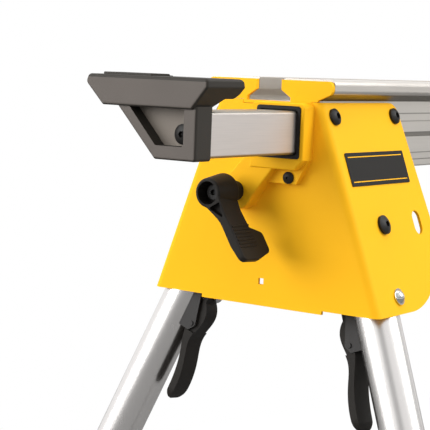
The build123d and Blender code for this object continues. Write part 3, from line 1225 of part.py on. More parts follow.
def main():
    os.makedirs("parts", exist_ok=True)
    save("main_beam", make_beam())
    for name, shape in end_nodes().items():
        save("left_" + name, at_left(shape))
        save("right_" + name, at_right(shape))
    sides = ((-1, "left_front_", "right_back_"), (1, "left_back_", "right_front_"))
    for side, left_name, right_name in sides:
        for name, shape in leg_nodes(side).items():
            save(left_name + name, [at_left(item) for item in listed(shape)])
            save(right_name + name, [at_right(item) for item in listed(shape)])
    save("housing_bolts", both_ends(make_flange_bolts()))
    save("bolt_spacers", both_ends(make_bolt_spacers()))
    save("casting_bolts", both_ends([make_casting_bolt()]))
    save("leg_pivot_bolts", both_ends([make_pivot_bolt(-1), make_pivot_bolt(1)]))
    save("latch_cups", both_ends([make_latch_cup(-1), make_latch_cup(1)]))
    for name, way in (("left_", -1), ("right_", 1)):
        place = Pos(way * BRACKET_SPACING / 2, 0, BEAM_TOP_HEIGHT)
        save(name + "bracket_rail", place * make_bracket_rail())
        save(name + "bracket_saddle", place * make_bracket_saddle())
        save(name + "bracket_jaw", place * make_bracket_jaw())
        save(name + "clamp_lever", place * make_clamp_lever())


main()
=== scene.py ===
# %% [markdown]
# # A folding miter saw stand
# The stand is an aluminium beam on four folding tube legs, with a yellow sheet housing at each end and
# an extension tube that slides out of each end. The measured solids come in first as a fixed frame, so
# every finish and every new piece is placed in their coordinates: metres, X along the beam, Z up.

# %% The frame and its box
import json
import math

import bmesh
import bpy
from mathutils import Matrix, Vector


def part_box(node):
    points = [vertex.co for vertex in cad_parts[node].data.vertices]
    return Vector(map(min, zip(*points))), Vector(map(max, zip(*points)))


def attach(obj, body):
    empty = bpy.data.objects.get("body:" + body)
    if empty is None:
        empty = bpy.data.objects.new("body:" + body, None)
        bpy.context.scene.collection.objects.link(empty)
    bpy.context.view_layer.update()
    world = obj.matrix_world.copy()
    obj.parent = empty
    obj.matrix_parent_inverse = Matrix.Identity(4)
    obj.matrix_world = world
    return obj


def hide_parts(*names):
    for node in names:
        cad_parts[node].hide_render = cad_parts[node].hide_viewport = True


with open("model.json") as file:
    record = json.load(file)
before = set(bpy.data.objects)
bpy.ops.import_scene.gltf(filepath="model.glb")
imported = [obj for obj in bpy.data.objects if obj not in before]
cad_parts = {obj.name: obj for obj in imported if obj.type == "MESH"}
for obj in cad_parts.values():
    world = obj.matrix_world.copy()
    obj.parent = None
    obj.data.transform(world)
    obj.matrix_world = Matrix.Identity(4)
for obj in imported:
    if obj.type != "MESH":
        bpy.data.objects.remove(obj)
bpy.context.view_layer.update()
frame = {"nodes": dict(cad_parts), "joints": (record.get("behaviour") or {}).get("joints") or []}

nodes = frame["nodes"]

# %% [markdown]
# ## Where the camera stands
# The photograph was taken from close to the left end, in front and a little above the beam. The place and
# the turn of the camera were worked out from the vanishing points of the beam, the level edges and the
# uprights. A camera could also be aimed at a point, but then its roll would be lost, so its turn is built
# from a heading, a pitch and a roll. A long lens keeps the perspective as mild as it is in the photograph.

# %% Camera
LEFT_END_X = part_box("left_housing")[0].x
CASTING_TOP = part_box("left_end_casting")[1].z
CAMERA_LEFT_OF_END = 1.107
CAMERA_IN_FRONT = 0.7443
CAMERA_ABOVE_CASTING = 0.01296
CAMERA_HEADING = math.radians(35.81)
CAMERA_PITCH = math.radians(5.90)
CAMERA_ROLL = math.radians(2.19)
FOCAL_PIXELS = 1475.0
PICTURE_PIXELS = 430.0
SENSOR_WIDTH = 36.0
NEAREST_SEEN = 0.05
FARTHEST_SEEN = 60


def direction(heading, rise):
    """One metre at a heading in plan and a rise above the level, both in radians."""
    flat = math.cos(rise)
    return Vector((flat * math.cos(heading), flat * math.sin(heading), math.sin(rise)))


def camera_turn(heading, pitch, roll):
    """The camera's turn, from its heading in plan, its pitch downwards and its roll."""
    ahead = direction(heading, -pitch)
    level_right = Vector((math.sin(heading), -math.cos(heading), 0))
    level_up = level_right.cross(ahead)
    right = level_right * math.cos(roll) + level_up * math.sin(roll)
    up = level_up * math.cos(roll) - level_right * math.sin(roll)
    return Matrix((right, up, -ahead)).transposed()


camera_data = bpy.data.cameras.new("camera")
camera = bpy.data.objects.new("camera", camera_data)
bpy.context.collection.objects.link(camera)
camera_data.sensor_width = SENSOR_WIDTH
camera_data.lens = FOCAL_PIXELS / PICTURE_PIXELS * SENSOR_WIDTH
camera_data.clip_start = NEAREST_SEEN
camera_data.clip_end = FARTHEST_SEEN
camera_place = Vector((LEFT_END_X - CAMERA_LEFT_OF_END, -CAMERA_IN_FRONT, CASTING_TOP + CAMERA_ABOVE_CASTING))
turn = camera_turn(CAMERA_HEADING, CAMERA_PITCH, CAMERA_ROLL)
camera.matrix_world = Matrix.Translation(camera_place) @ turn.to_4x4()
bpy.context.scene.camera = camera
print("lens:", round(camera_data.lens, 1), "mm")

# %% [markdown]
# ## Writing shader maths
# A finish is a tree of nodes. Its sums could be wired up one Math node at a time, but that hides what they
# mean. Wrapping one output socket in a small class lets a mask be written as `1 - mask` or
# `noise * 0.2 + 0.4`, and each operator adds its own Math node. Every other node comes from one method,
# which sets the node's settings first and then its sockets.

# %% A socket that does sums
class Signal:
    """One output socket of a node tree, with the sums that are done on it."""

    def __init__(self, tree, socket):
        self.tree = tree
        self.socket = socket

    @classmethod
    def node(cls, tree, kind, settings=None, sockets=None, output=0):
        """Adds a node, its settings first, and gives one of its outputs."""
        made = tree.nodes.new(kind)
        for name, setting in (settings or {}).items():
            setattr(made, name, setting)
        for name, value in (sockets or {}).items():
            if isinstance(value, Signal):
                tree.links.new(value.socket, made.inputs[name])
            else:
                made.inputs[name].default_value = value
        return cls(tree, made.outputs[output])

    def maths(self, operation, first, second=0):
        """Adds a Math node to this signal's tree."""
        return Signal.node(self.tree, "ShaderNodeMath", {"operation": operation}, {0: first, 1: second})

    def __add__(self, other):
        return self.maths("ADD", self, other)

    __radd__ = __add__

    def __mul__(self, other):
        return self.maths("MULTIPLY", self, other)

    __rmul__ = __mul__

    def __sub__(self, other):
        return self.maths("SUBTRACT", self, other)

    def __rsub__(self, other):
        return self.maths("SUBTRACT", other, self)

    def __gt__(self, other):
        return self.maths("GREATER_THAN", self, other)

    def __abs__(self):
        return self.maths("ABSOLUTE", self)

    def step(self, low, high):
        """0 below the low value and 1 above the high one, with a soft change between them."""
        return Signal.node(self.tree, "ShaderNodeMapRange", {"interpolation_type": "SMOOTHSTEP"}, {
            "Value": self, "From Min": low, "From Max": high})

    def near(self, middle, half, soft):
        """1 within half a width of a middle value, and 0 past a soft edge beyond it."""
        return 1 - abs(self - middle).step(half, half + soft)


print("signal operators ready")

# %% [markdown]
# ## Colours as they are seen
# The yellow is known as a screen shows it, in the screen's own scale, while the shader works in light.
# Blender's colour picker could turn one into the other by hand. A small helper keeps the screen's numbers.

# %% Colours
FULL_PART = 255
STRAIGHT_UP_TO, STRAIGHT_DIVISOR = 0.04045, 12.92
CURVE_LIFT, CURVE_POWER = 0.055, 2.4


def seen_part(part):
    """One part of a colour on a screen, as light, by the curve that screens use."""
    share = part / FULL_PART
    if share <= STRAIGHT_UP_TO:
        return share / STRAIGHT_DIVISOR
    return ((share + CURVE_LIFT) / (1 + CURVE_LIFT)) ** CURVE_POWER


def seen(red, green, blue):
    """A colour given as 0 to 255 on a screen, as light."""
    return tuple(seen_part(part) for part in (red, green, blue))


print("half of the screen's scale, as light:", round(seen_part(FULL_PART / 2), 3))

# %% [markdown]
# ## One base for all the finishes
# Every finish is a Principled shader with a fine pattern on Object coordinates. These are the metres of the
# frame, so a pattern keeps its size on a small screw and on the long beam, and it needs no UV map. The
# pattern gives small changes of colour and of roughness, and a bump. A class makes the tree, so that each
# finish below only says what is special about it.

# %% The base of a finish
MIX_FACTOR, MIX_FIRST_COLOUR, MIX_SECOND_COLOUR = 0, 6, 7
MIX_COLOUR_OUTPUT = 2


class Finish:
    """A material whose pattern follows the object's own coordinates, in metres."""

    def __init__(self, name, colour, roughness, metallic=0.0, specular=0.5):
        self.material = bpy.data.materials.new(name)
        self.material.use_nodes = True
        self.tree = self.material.node_tree
        self.shader = self.tree.nodes["Principled BSDF"]
        self.place = Signal.node(self.tree, "ShaderNodeTexCoord", output="Object")
        self.colour = colour
        self.roughness = roughness
        self.shader.inputs["Base Color"].default_value = (*colour, 1)
        self.shader.inputs["Roughness"].default_value = roughness
        self.shader.inputs["Metallic"].default_value = metallic
        self.shader.inputs["Specular IOR Level"].default_value = specular

    def node(self, kind, settings=None, sockets=None, output=0):
        """Adds a node to the finish and gives one of its outputs."""
        return Signal.node(self.tree, kind, settings, sockets, output)

    def noise(self, scale, detail, stretch=(1, 1, 1)):
        """Noise with so many cells to the metre, drawn out along an axis where its factor is small."""
        place = self.node("ShaderNodeMapping", sockets={"Vector": self.place, "Scale": stretch})
        return self.node("ShaderNodeTexNoise", sockets={"Vector": place, "Scale": scale, "Detail": detail})

    def axis(self, letter):
        """The object's own coordinate along one axis, in metres."""
        return self.node("ShaderNodeSeparateXYZ", sockets={"Vector": self.place}, output=letter)

    def mix(self, factor, first, second, blend="MIX"):
        """One of two colours, or a blend of them; each is a signal or three numbers."""
        sides = [side if isinstance(side, Signal) else (*side, 1) for side in (first, second)]
        settings = {"data_type": "RGBA", "blend_type": blend}
        sockets = {MIX_FACTOR: factor, MIX_FIRST_COLOUR: sides[0], MIX_SECOND_COLOUR: sides[1]}
        return self.node("ShaderNodeMix", settings, sockets, MIX_COLOUR_OUTPUT)

    def link(self, name, signal):
        """Feeds a signal into one of the shader's sockets."""
        self.tree.links.new(signal.socket, self.shader.inputs[name])

    def shade(self, signal, darker, lighter):
        """The colour, changed between a darker and a lighter share of itself by a signal."""
        low = [part * darker for part in self.colour]
        high = [min(part * lighter, 1) for part in self.colour]
        self.shaded = self.mix(signal, low, high)
        self.link("Base Color", self.shaded)

    def roughen(self, signal, spread):
        """The roughness, changed by a signal from 0 to 1 by half a spread to either side."""
        self.link("Roughness", signal * spread + (self.roughness - spread / 2))

    def bump(self, height, distance):
        """Raises the surface by a height signal times a distance in metres."""
        self.link("Normal", self.node("ShaderNodeBump", sockets={"Height": height, "Distance": distance}))


print("base of the finishes ready")

# %% [markdown]
# ## Yellow powder coat
# The housings and their castings are sprayed with powder that melts into a smooth, slightly dimpled skin.
# One flat colour would look like paper, so a fine noise gives the dimples and a broad one keeps the colour
# from being dead flat. The casting under the coat is rougher than the sheet, so its dimples are deeper.

# %% Yellow finishes
YELLOW = seen(253, 187, 30)


def powder_coat(name, dimple_scale, dimple_depth, roughness):
    """Yellow powder coat, with so many dimples to the metre and their depth in metres."""
    finish = Finish(name, YELLOW, roughness, specular=0.06)
    broad = finish.noise(scale=14, detail=3)
    fine = finish.noise(scale=dimple_scale, detail=2)
    finish.shade(broad, darker=0.94, lighter=1.03)
    finish.roughen(broad, spread=0.1)
    finish.bump(fine, dimple_depth)
    return finish.material


yellow_sheet = powder_coat("yellow_sheet", dimple_scale=900, dimple_depth=0.00005, roughness=0.5)
yellow_casting = powder_coat("yellow_casting", dimple_scale=600, dimple_depth=0.0001, roughness=0.52)
print("yellow finishes made")

# %% [markdown]
# ## Moulded black plastic
# The levers, sleeves and feet are moulded in tools whose walls were given a fine grain. The grain scatters
# the light, so they aren't deep black. A picture of real grain could be wrapped round them, but noise needs
# no picture and suits every size. Two noises are added up: one for the grain and a broad one for the marks
# that the plastic leaves as it flows. The feet are rubber, with a coarser grain and little shine.

# %% Black plastics
FLOW_SHARE, GRAIN_SHARE = 0.6, 0.4


def moulded(name, colour, roughness, grain_scale=1400, grain_depth=0.00009, specular=0.5):
    """Moulded plastic or rubber, with so many grains to the metre and their depth in metres."""
    finish = Finish(name, colour, roughness, specular=specular)
    grain = finish.noise(scale=grain_scale, detail=3)
    flow = finish.noise(scale=18, detail=2)
    finish.shade(flow * FLOW_SHARE + grain * GRAIN_SHARE, darker=0.8, lighter=1.22)
    finish.roughen(grain, spread=0.18)
    finish.bump(grain, grain_depth)
    return finish.material


lever_plastic = moulded("lever_plastic", (0.017, 0.015, 0.013), roughness=0.5, grain_depth=0.00005,
                        specular=0.1)
liner_plastic = moulded("liner_plastic", (0.010, 0.009, 0.009), roughness=0.5, specular=0.2)
foot_rubber = moulded("foot_rubber", (0.018, 0.018, 0.018), roughness=0.75, grain_scale=500,
                      grain_depth=0.00012)
print("plastics made")

# %% [markdown]
# ## The work supports
# The supports at the ends of the tubes are the same kind of plastic, and their sides are nearly black. Their
# faces that look along the beam are painted grey with painted light, the floor of the recess in them is
# painted lighter still, and a narrow band at the top of those faces stays dark as painted shade. Each could
# be cut up and given three materials, but the solids stay as they are, so masks tell the faces apart by where
# they lie. The same distances count from the middle of the beam at both ends, with left and right swapped.

# %% Places on a work support
SUPPORT_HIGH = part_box("right_end_support")[1]
BAR_PROUD, BAR_HEIGHT = 0.0026, 0.0252
RECESS_DEPTH = 0.0126
# A band this high at the top of the faces gets no painted light, so it stays dark as painted shade.
PAINTED_SHADE_TOP_EDGE = 0.0030
BAR_FACE = SUPPORT_HIGH.x
BODY_FACE = BAR_FACE - BAR_PROUD
RECESS_FLOOR = BODY_FACE - RECESS_DEPTH
BAR_UNDERSIDE = SUPPORT_HIGH.z - BAR_HEIGHT
PAINTED_LIGHT_FACE_TOP = SUPPORT_HIGH.z - PAINTED_SHADE_TOP_EDGE
PAINTED_SHADE_EDGE_SOFTNESS = 0.0006
FACE_SOFTNESS = 0.0004
FACE_TOLERANCE = 0.0001
FLOOR_TOLERANCE = 0.0002
# Across the beam, the recess ends at a straight side, and at one that slants inwards on its way down.
RECESS_STRAIGHT_SIDE = -0.0335
RECESS_TOP_SIDE = 0.027
RECESS_SLOPE = 0.918
print("support: bar face at", round(BAR_FACE, 4), "recess floor at", round(RECESS_FLOOR, 4))

# %% Work support plastic
SUPPORT_DARK = (0.029, 0.025, 0.020)
# Painted light: grey on the faces that look along the beam, and lighter still on the recess floor.
SUPPORT_PAINTED_LIGHT = (0.104, 0.089, 0.078)
SUPPORT_RECESS_PAINTED_LIGHT = (0.19, 0.164, 0.138)
GRAIN_DARKER, GRAIN_LIGHTER = (0.82, 0.82, 0.82), (1.2, 1.2, 1.2)


def painted_light_face_mask(out, height):
    """1 where light is painted, on the faces that look along the beam; the bar stands a little farther out
    than the body.
    """
    face = (height > BAR_UNDERSIDE) * (BAR_FACE - BODY_FACE) + BODY_FACE
    on_face = (out - face).step(-FACE_TOLERANCE - FACE_SOFTNESS, -FACE_TOLERANCE)
    return on_face * (1 - height.step(PAINTED_LIGHT_FACE_TOP, PAINTED_LIGHT_FACE_TOP + PAINTED_SHADE_EDGE_SOFTNESS))


def painted_light_recess_mask(out, across, height):
    """1 where more light is painted, on the floor of the recess between its straight side, its slanted side
    and the bar.
    """
    slanted_side = (height - BAR_UNDERSIDE) * RECESS_SLOPE + RECESS_TOP_SIDE
    inside = (across > RECESS_STRAIGHT_SIDE) * (slanted_side - across > 0) * (1 - (height > BAR_UNDERSIDE))
    return out.near(RECESS_FLOOR, FLOOR_TOLERANCE, FACE_SOFTNESS) * inside


def support_finish():
    """Dark on the sides, with light painted grey on the faces that look along the beam and lightest in the
    recess.
    """
    finish = Finish("support_plastic", SUPPORT_DARK, roughness=0.58, specular=0.25)
    along = finish.axis("X")
    height = finish.axis("Z")
    across = finish.axis("Y") * (1 - (along > 0) * 2)
    faces = finish.mix(painted_light_face_mask(abs(along), height), SUPPORT_DARK, SUPPORT_PAINTED_LIGHT)
    base = finish.mix(painted_light_recess_mask(abs(along), across, height), faces, SUPPORT_RECESS_PAINTED_LIGHT)
    grain = finish.noise(scale=1300, detail=3)
    flow = finish.noise(scale=16, detail=2)
    shade = finish.mix(flow * FLOW_SHARE + grain * GRAIN_SHARE, GRAIN_DARKER, GRAIN_LIGHTER)
    finish.link("Base Color", finish.mix(1.0, base, shade, blend="MULTIPLY"))
    finish.roughen(grain, spread=0.16)
    finish.bump(grain, distance=0.00008)
    return finish.material


support_plastic = support_finish()
print("support plastic made")

# %% [markdown]
# ## Drawn and extruded metal
# Three bright metals meet here. The beam is extruded and etched, with faint die lines along its length. The
# extension tube is brushed along its length. The legs are drawn tube with a satin skin. A shader can stretch
# its highlight with Anisotropic, but that shows no lines, so each metal gets noise that is stretched along
# the piece. A leg leans a little, and its lines follow the upright, which is near enough for such faint ones.

# %% Metal with lines
LINES_IN_COLOUR, CLOUD_IN_COLOUR = 0.7, 0.3
LINES_IN_ROUGHNESS, CLOUD_IN_ROUGHNESS = 2 / 3, 1 / 3
MOST_DARKER, MOST_LIGHTER = 0.1, 0.08
ROUGHNESS_SPREAD = 0.24


def drawn_metal(name, colour, roughness, stretch, lines_per_metre, line_depth, unevenness=1.0):
    """Metal with fine lines along one axis; a low unevenness keeps its colour and roughness calm."""
    finish = Finish(name, colour, roughness, metallic=1.0)
    lines = finish.noise(scale=lines_per_metre, detail=3, stretch=stretch)
    cloud = finish.noise(scale=9, detail=2)
    finish.shade(lines * LINES_IN_COLOUR + cloud * CLOUD_IN_COLOUR,
                 darker=1 - MOST_DARKER * unevenness, lighter=1 + MOST_LIGHTER * unevenness)
    finish.roughen(lines * LINES_IN_ROUGHNESS + cloud * CLOUD_IN_ROUGHNESS, ROUGHNESS_SPREAD * unevenness)
    finish.bump(lines, line_depth)
    return finish


ALONG_BEAM = (0.02, 1, 1)
ALONG_TUBE = (0.03, 1, 1)
ALONG_LEG = (1, 1, 0.12)
leg_finish = drawn_metal("leg_metal", (0.80, 0.775, 0.76), roughness=0.26, stretch=ALONG_LEG,
                         lines_per_metre=500, line_depth=0.000004, unevenness=0.4)
leg_metal = leg_finish.material
print("leg metal made")

# %% [markdown]
# ## The beam's grooves and ends
# Each side of the beam has a rail with an undercut, a sunk band, a groove and a skirt. Little light gets
# under their edges. These steps are in the solids, but most are too shallow to draw a line in the picture.
# Deeper ones would be wrong, so the finish paints their shade there, as darker strips of metal colour. The
# sawn ends are duller metal and get the same darker colour.

# %% Beam metal
BEAM_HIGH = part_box("main_beam")[1]
BEAM_PAINTED_SHADE_AND_SAWN_END = (0.10, 0.092, 0.075)
STRIP_SOFTNESS = 0.0004
BEAM_SIDE_FROM, BEAM_SIDE_FULL = 0.047, 0.049
SAWN_END_FROM, SAWN_END_FULL = 0.0005, 0.0001
SAWN_END_SHADE = 0.55
# Each strip of painted shade has its upper and its lower edge, below the top of the beam, and its share of
# the darker colour.
BEAM_PAINTED_SHADE_STRIPS = {
    "under the rail": (0.0130, 0.0188, 0.8),
    "top of the band": (0.0301, 0.0309, 0.55),
    "foot of the band": (0.0376, 0.0382, 0.45),
    "groove": (0.0486, 0.0528, 0.72),
    "top of the skirt": (0.0684, 0.0692, 0.5),
    "line on the skirt": (0.0752, 0.0759, 0.5),
    "foot of the skirt": (0.0814, 0.0824, 0.55),
}


def beam_finish():
    """Etched extrusion, with painted shade under its rails and edges, and duller metal on its sawn ends."""
    finish = drawn_metal("beam_metal", (0.67, 0.635, 0.59), roughness=0.38, stretch=ALONG_BEAM,
                         lines_per_metre=700, line_depth=0.00003)
    below_top = BEAM_HIGH.z - finish.axis("Z")
    painted_shade_strips = 0
    for upper, lower, shade in BEAM_PAINTED_SHADE_STRIPS.values():
        painted_shade_strips = painted_shade_strips + below_top.near((upper + lower) / 2, (lower - upper) / 2, STRIP_SOFTNESS) * shade
    on_side = abs(finish.axis("Y")).step(BEAM_SIDE_FROM, BEAM_SIDE_FULL)
    on_end = abs(finish.axis("X")).step(BEAM_HIGH.x - SAWN_END_FROM, BEAM_HIGH.x - SAWN_END_FULL)
    # Painted shade in the strips on the sides, and the duller colour of the sawn ends.
    painted_shade_and_sawn_end = painted_shade_strips * on_side + on_end * SAWN_END_SHADE
    finish.link("Base Color", finish.mix(painted_shade_and_sawn_end, finish.shaded, BEAM_PAINTED_SHADE_AND_SAWN_END))
    return finish.material


beam_metal = beam_finish()
print("beam metal made, duller at:", ", ".join(BEAM_PAINTED_SHADE_STRIPS))

# %% [markdown]
# ## The extension tubes
# The tubes are brushed on their two upright faces. The rounded corners, the top and the underside get a
# darker colour, a painted dark reflection. They could be picked out face by face for a second material, but
# the height above or below the tube's middle finds them all at once, and gives the painted part a soft edge.

# %% Tube metal
TUBE_LOW, TUBE_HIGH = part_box("left_extension_tube")
TUBE_MIDDLE = (TUBE_LOW.z + TUBE_HIGH.z) / 2
TUBE_HALF = (TUBE_HIGH.z - TUBE_LOW.z) / 2
# The corners, the top and the underside get a darker colour: a painted dark reflection.
DARK_REFLECTION_FROM, DARK_REFLECTION_FULL = 0.00255, 0.00095
DARK_REFLECTION_SHARE = 0.75
TUBE_PAINTED_DARK_REFLECTION = (0.16, 0.15, 0.115)


def tube_finish():
    """Brushed metal on the upright faces, and a painted dark reflection on the corners, the top and the
    underside.
    """
    finish = drawn_metal("tube_metal", (0.74, 0.69, 0.655), roughness=0.42, stretch=ALONG_TUBE,
                         lines_per_metre=900, line_depth=0.00004)
    off_middle = abs(finish.axis("Z") - TUBE_MIDDLE)
    painted_dark_reflection = off_middle.step(TUBE_HALF - DARK_REFLECTION_FROM, TUBE_HALF - DARK_REFLECTION_FULL)
    finish.link("Base Color", finish.mix(painted_dark_reflection * DARK_REFLECTION_SHARE, finish.shaded, TUBE_PAINTED_DARK_REFLECTION))
    return finish.material


tube_metal = tube_finish()
print("tube metal made, for a tube of", round((TUBE_HIGH.z - TUBE_LOW.z) * 1000, 1), "mm")

# %% [markdown]
# ## Small steel parts
# Screws, pivots and the levers' brackets are blackened steel, and the lock cups are chrome plated. The lock
# pins and brake shoes are bare machined steel, and the saddles and jaws of the saw brackets are bare
# castings. These parts are small, so one noise serves for their colour, roughness and bump alike.

# %% Small metals
def small_steel(name, colour, roughness, metallic, specular=0.5, spot_depth=0.00003):
    """A small metal part with fine spots, and their depth in metres."""
    finish = Finish(name, colour, roughness, metallic=metallic, specular=specular)
    spots = finish.noise(scale=380, detail=3)
    finish.shade(spots, darker=0.8, lighter=1.2)
    finish.roughen(spots, spread=0.15)
    finish.bump(spots, spot_depth)
    return finish.material


black_steel = small_steel("black_steel", (0.014, 0.013, 0.012), roughness=0.455, metallic=0, specular=0.2)
bracket_steel = small_steel("bracket_steel", (0.022, 0.02, 0.019), roughness=0.505, metallic=0, specular=0.25)
chrome_steel = small_steel("chrome_steel", (0.62, 0.63, 0.62), roughness=0.105, metallic=1,
                           spot_depth=0.000001)
machined_steel = small_steel("machined_steel", (0.45, 0.45, 0.46), roughness=0.355, metallic=1)
cast_metal = small_steel("cast_metal", (0.5, 0.5, 0.5), roughness=0.505, metallic=1)
print("small metals made")

# %% [markdown]
# ## Which solid gets which finish
# A finish could be set on each solid in turn, but their names say what they are, so it is chosen by the end
# of the name. That also gives the parts of the right end the finish of their twins on the left.

# %% Finishes on the solids
FINISH_BY_ENDING = {
    "main_beam": beam_metal,
    "_housing": yellow_sheet,
    "_end_casting": yellow_casting,
    "_bracket_rail": yellow_sheet,
    "_bracket_saddle": cast_metal,
    "_bracket_jaw": cast_metal,
    "_clamp_lever": lever_plastic,
    "_tube_liner": liner_plastic,
    "_tube_glide": liner_plastic,
    "_extension_tube": tube_metal,
    "_end_support": support_plastic,
    "_work_stop": support_plastic,
    "_lock_lever": lever_plastic,
    "_release_lever": lever_plastic,
    "_leg_plug": lever_plastic,
    "_leg_tube": leg_metal,
    "_leg_foot": foot_rubber,
    "_lever_bracket": bracket_steel,
    "_lock_pin": machined_steel,
    "_brake_shoe": machined_steel,
    "_support_bolt": black_steel,
    "_lock_shaft": black_steel,
    "housing_bolts": black_steel,
    "casting_bolts": black_steel,
    "leg_pivot_bolts": black_steel,
    "bolt_spacers": lever_plastic,
    "latch_cups": chrome_steel,
}


def finish_for(name):
    """The finish of a solid, by the end of its name."""
    for ending, material in FINISH_BY_ENDING.items():
        if name.endswith(ending):
            return material
    raise KeyError(name)


for name, solid in nodes.items():
    if not solid.material_slots:
        solid.data.materials.append(None)
    for slot in solid.material_slots:
        slot.material = finish_for(name)
print("finished solids:", len(nodes))

# %% [markdown]
# ## Bare plate
# A thin dark plate is stuck on the front flange of the left housing. It could be a box, but a box has no
# place for the lines on it. It is a grid of one face, inset twice, whose corners are rounded before it is
# lifted by its thickness. The second inset leaves a narrow band, and the long sides of that band are the
# yellow lines above and below the bare middle. The rim is eased so that it catches the light.

# %% Shape of the plate
PLATE_LENGTH, PLATE_HEIGHT, PLATE_THICKNESS = 0.1045, 0.0308, 0.0004
PLATE_CORNER, PLATE_MARGIN, PLATE_LINE, PLATE_EASE = 0.0016, 0.0035, 0.0009, 0.00012
# The normal of a side wall lies nearly level, so it rises by less than this.
WALL_NORMAL_RISE = 0.5


def rim_edges(mesh):
    """The edges between the top of the lifted plate and its side walls."""
    on_top = [edge for edge in mesh.edges if min(vert.co.z for vert in edge.verts) > 0]
    return [edge for edge in on_top
            if any(abs(face.normal.z) < WALL_NORMAL_RISE for face in edge.link_faces)]


def shape_plate(mesh):
    """Shapes the plate around the origin in an empty bmesh; its lines have the second material."""
    bmesh.ops.create_grid(mesh, x_segments=1, y_segments=1, size=0.5)
    bmesh.ops.scale(mesh, verts=mesh.verts, vec=(PLATE_LENGTH, PLATE_HEIGHT, 1))
    corners = mesh.verts[:]
    middle = mesh.faces[:]
    bmesh.ops.inset_region(mesh, faces=middle, thickness=PLATE_MARGIN, use_even_offset=True,
                           use_boundary=True)
    band = bmesh.ops.inset_region(mesh, faces=middle, thickness=PLATE_LINE, use_even_offset=True)["faces"]
    long_sides = [face for face in band if abs(face.calc_center_median().y) > PLATE_HEIGHT / 4]
    for face in long_sides:
        face.material_index = 1
    bmesh.ops.bevel(mesh, geom=corners, offset=PLATE_CORNER, offset_type="OFFSET", segments=5,
                    profile=0.5, affect="VERTICES", material=-1)
    lifted = bmesh.ops.extrude_face_region(mesh, geom=mesh.faces[:], use_keep_orig=True)["geom"]
    top_verts = [part for part in lifted if isinstance(part, bmesh.types.BMVert)]
    bmesh.ops.translate(mesh, verts=top_verts, vec=(0, 0, PLATE_THICKNESS))
    bmesh.ops.bevel(mesh, geom=rim_edges(mesh), offset=PLATE_EASE, offset_type="OFFSET", segments=2,
                    profile=0.5, affect="EDGES", material=-1)
    bmesh.ops.recalc_face_normals(mesh, faces=mesh.faces[:])


print("plate:", PLATE_LENGTH * 1000, "by", PLATE_HEIGHT * 1000, "mm")

# %% [markdown]
# ## The plate's place
# The flange spreads outwards towards its foot, so the plate is turned to lie on it. It could be shaped on
# the flange straight away, but insets and bevels are easier to follow on a level grid. The flange's plane is
# given by the way that it faces and by its distance from the origin. Its upper edge is the housing's top.

# %% The plate on its flange
FLANGE_OUT = Vector((0, -0.939, 0.344)).normalized()
FLANGE_UP = Vector((0, 0.344, 0.939)).normalized()
FLANGE_DISTANCE = 0.3259
FLANGE_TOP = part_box("left_housing")[1].z
PLATE_ALONG = 0.06725
PLATE_DOWN = 0.0620
PLATE_GAP = 0.00002


def plate_place():
    """Where the plate sits: its middle on the flange, its long side along the beam."""
    top_y = (FLANGE_TOP * FLANGE_OUT.z - FLANGE_DISTANCE) / -FLANGE_OUT.y
    flange_edge = Vector((LEFT_END_X + PLATE_ALONG, top_y, FLANGE_TOP))
    middle = flange_edge - FLANGE_UP * PLATE_DOWN + FLANGE_OUT * PLATE_GAP
    turn = Matrix((Vector((1, 0, 0)), FLANGE_UP, FLANGE_OUT)).transposed().to_4x4()
    return Matrix.Translation(middle) @ turn


def show_piece(mesh, name, materials):
    """Makes an object of a bmesh, which is freed, and gives it its materials."""
    data = bpy.data.meshes.new(name)
    mesh.to_mesh(data)
    mesh.free()
    for material in materials:
        data.materials.append(material)
    piece = bpy.data.objects.new(name, data)
    bpy.context.collection.objects.link(piece)
    return piece


plate_film = moulded("plate_film", (0.012, 0.0105, 0.009), roughness=0.5, grain_scale=2500,
                     grain_depth=0.00001, specular=0.13)
plate_line = powder_coat("plate_line", dimple_scale=1800, dimple_depth=0.00001, roughness=0.5)
plate_mesh = bmesh.new()
shape_plate(plate_mesh)
bmesh.ops.transform(plate_mesh, matrix=plate_place(), verts=plate_mesh.verts[:])
plate = show_piece(plate_mesh, "left_plate", [plate_film, plate_line])
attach(plate, "stand_frame")
print("plate made, faces:", len(plate.data.polygons))

# %% [markdown]
# ## Release levers with rounded tips
# Each leg has a release lever, a blade moulded with a rounded end. Its solid is right in profile but square
# across the end. A new lever could be modelled from nothing, but then its pivot and hook might miss those
# of the solid. So the dressed lever is a copy of the solid, merged along its seams, whose width narrows
# along an ellipse towards the tip. The seams are marked sharp first, so that the copy keeps its shading.

# %% Shape of a rounded lever
TIP_LENGTH = 0.0115
TIP_LEAST_SHARE = 0.3
MERGE_DISTANCE = 0.000001
# A leg runs down from the beam in these shares along the beam, across it and downwards.
LEG_ALONG, LEG_ACROSS, LEG_DOWN = 0.1495, 0.3603, 0.9208
hinge_axes = {joint["name"]: Vector(joint["axis"]) for joint in frame["joints"]}


def merged_copy(solid):
    """A bmesh of a solid whose loose faces are joined, with a sharp edge where they were loose."""
    mesh = bmesh.new()
    mesh.from_mesh(solid.data)
    for edge in mesh.edges:
        if edge.is_boundary:
            edge.smooth = False
    bmesh.ops.remove_doubles(mesh, verts=mesh.verts[:], dist=MERGE_DISTANCE)
    return mesh


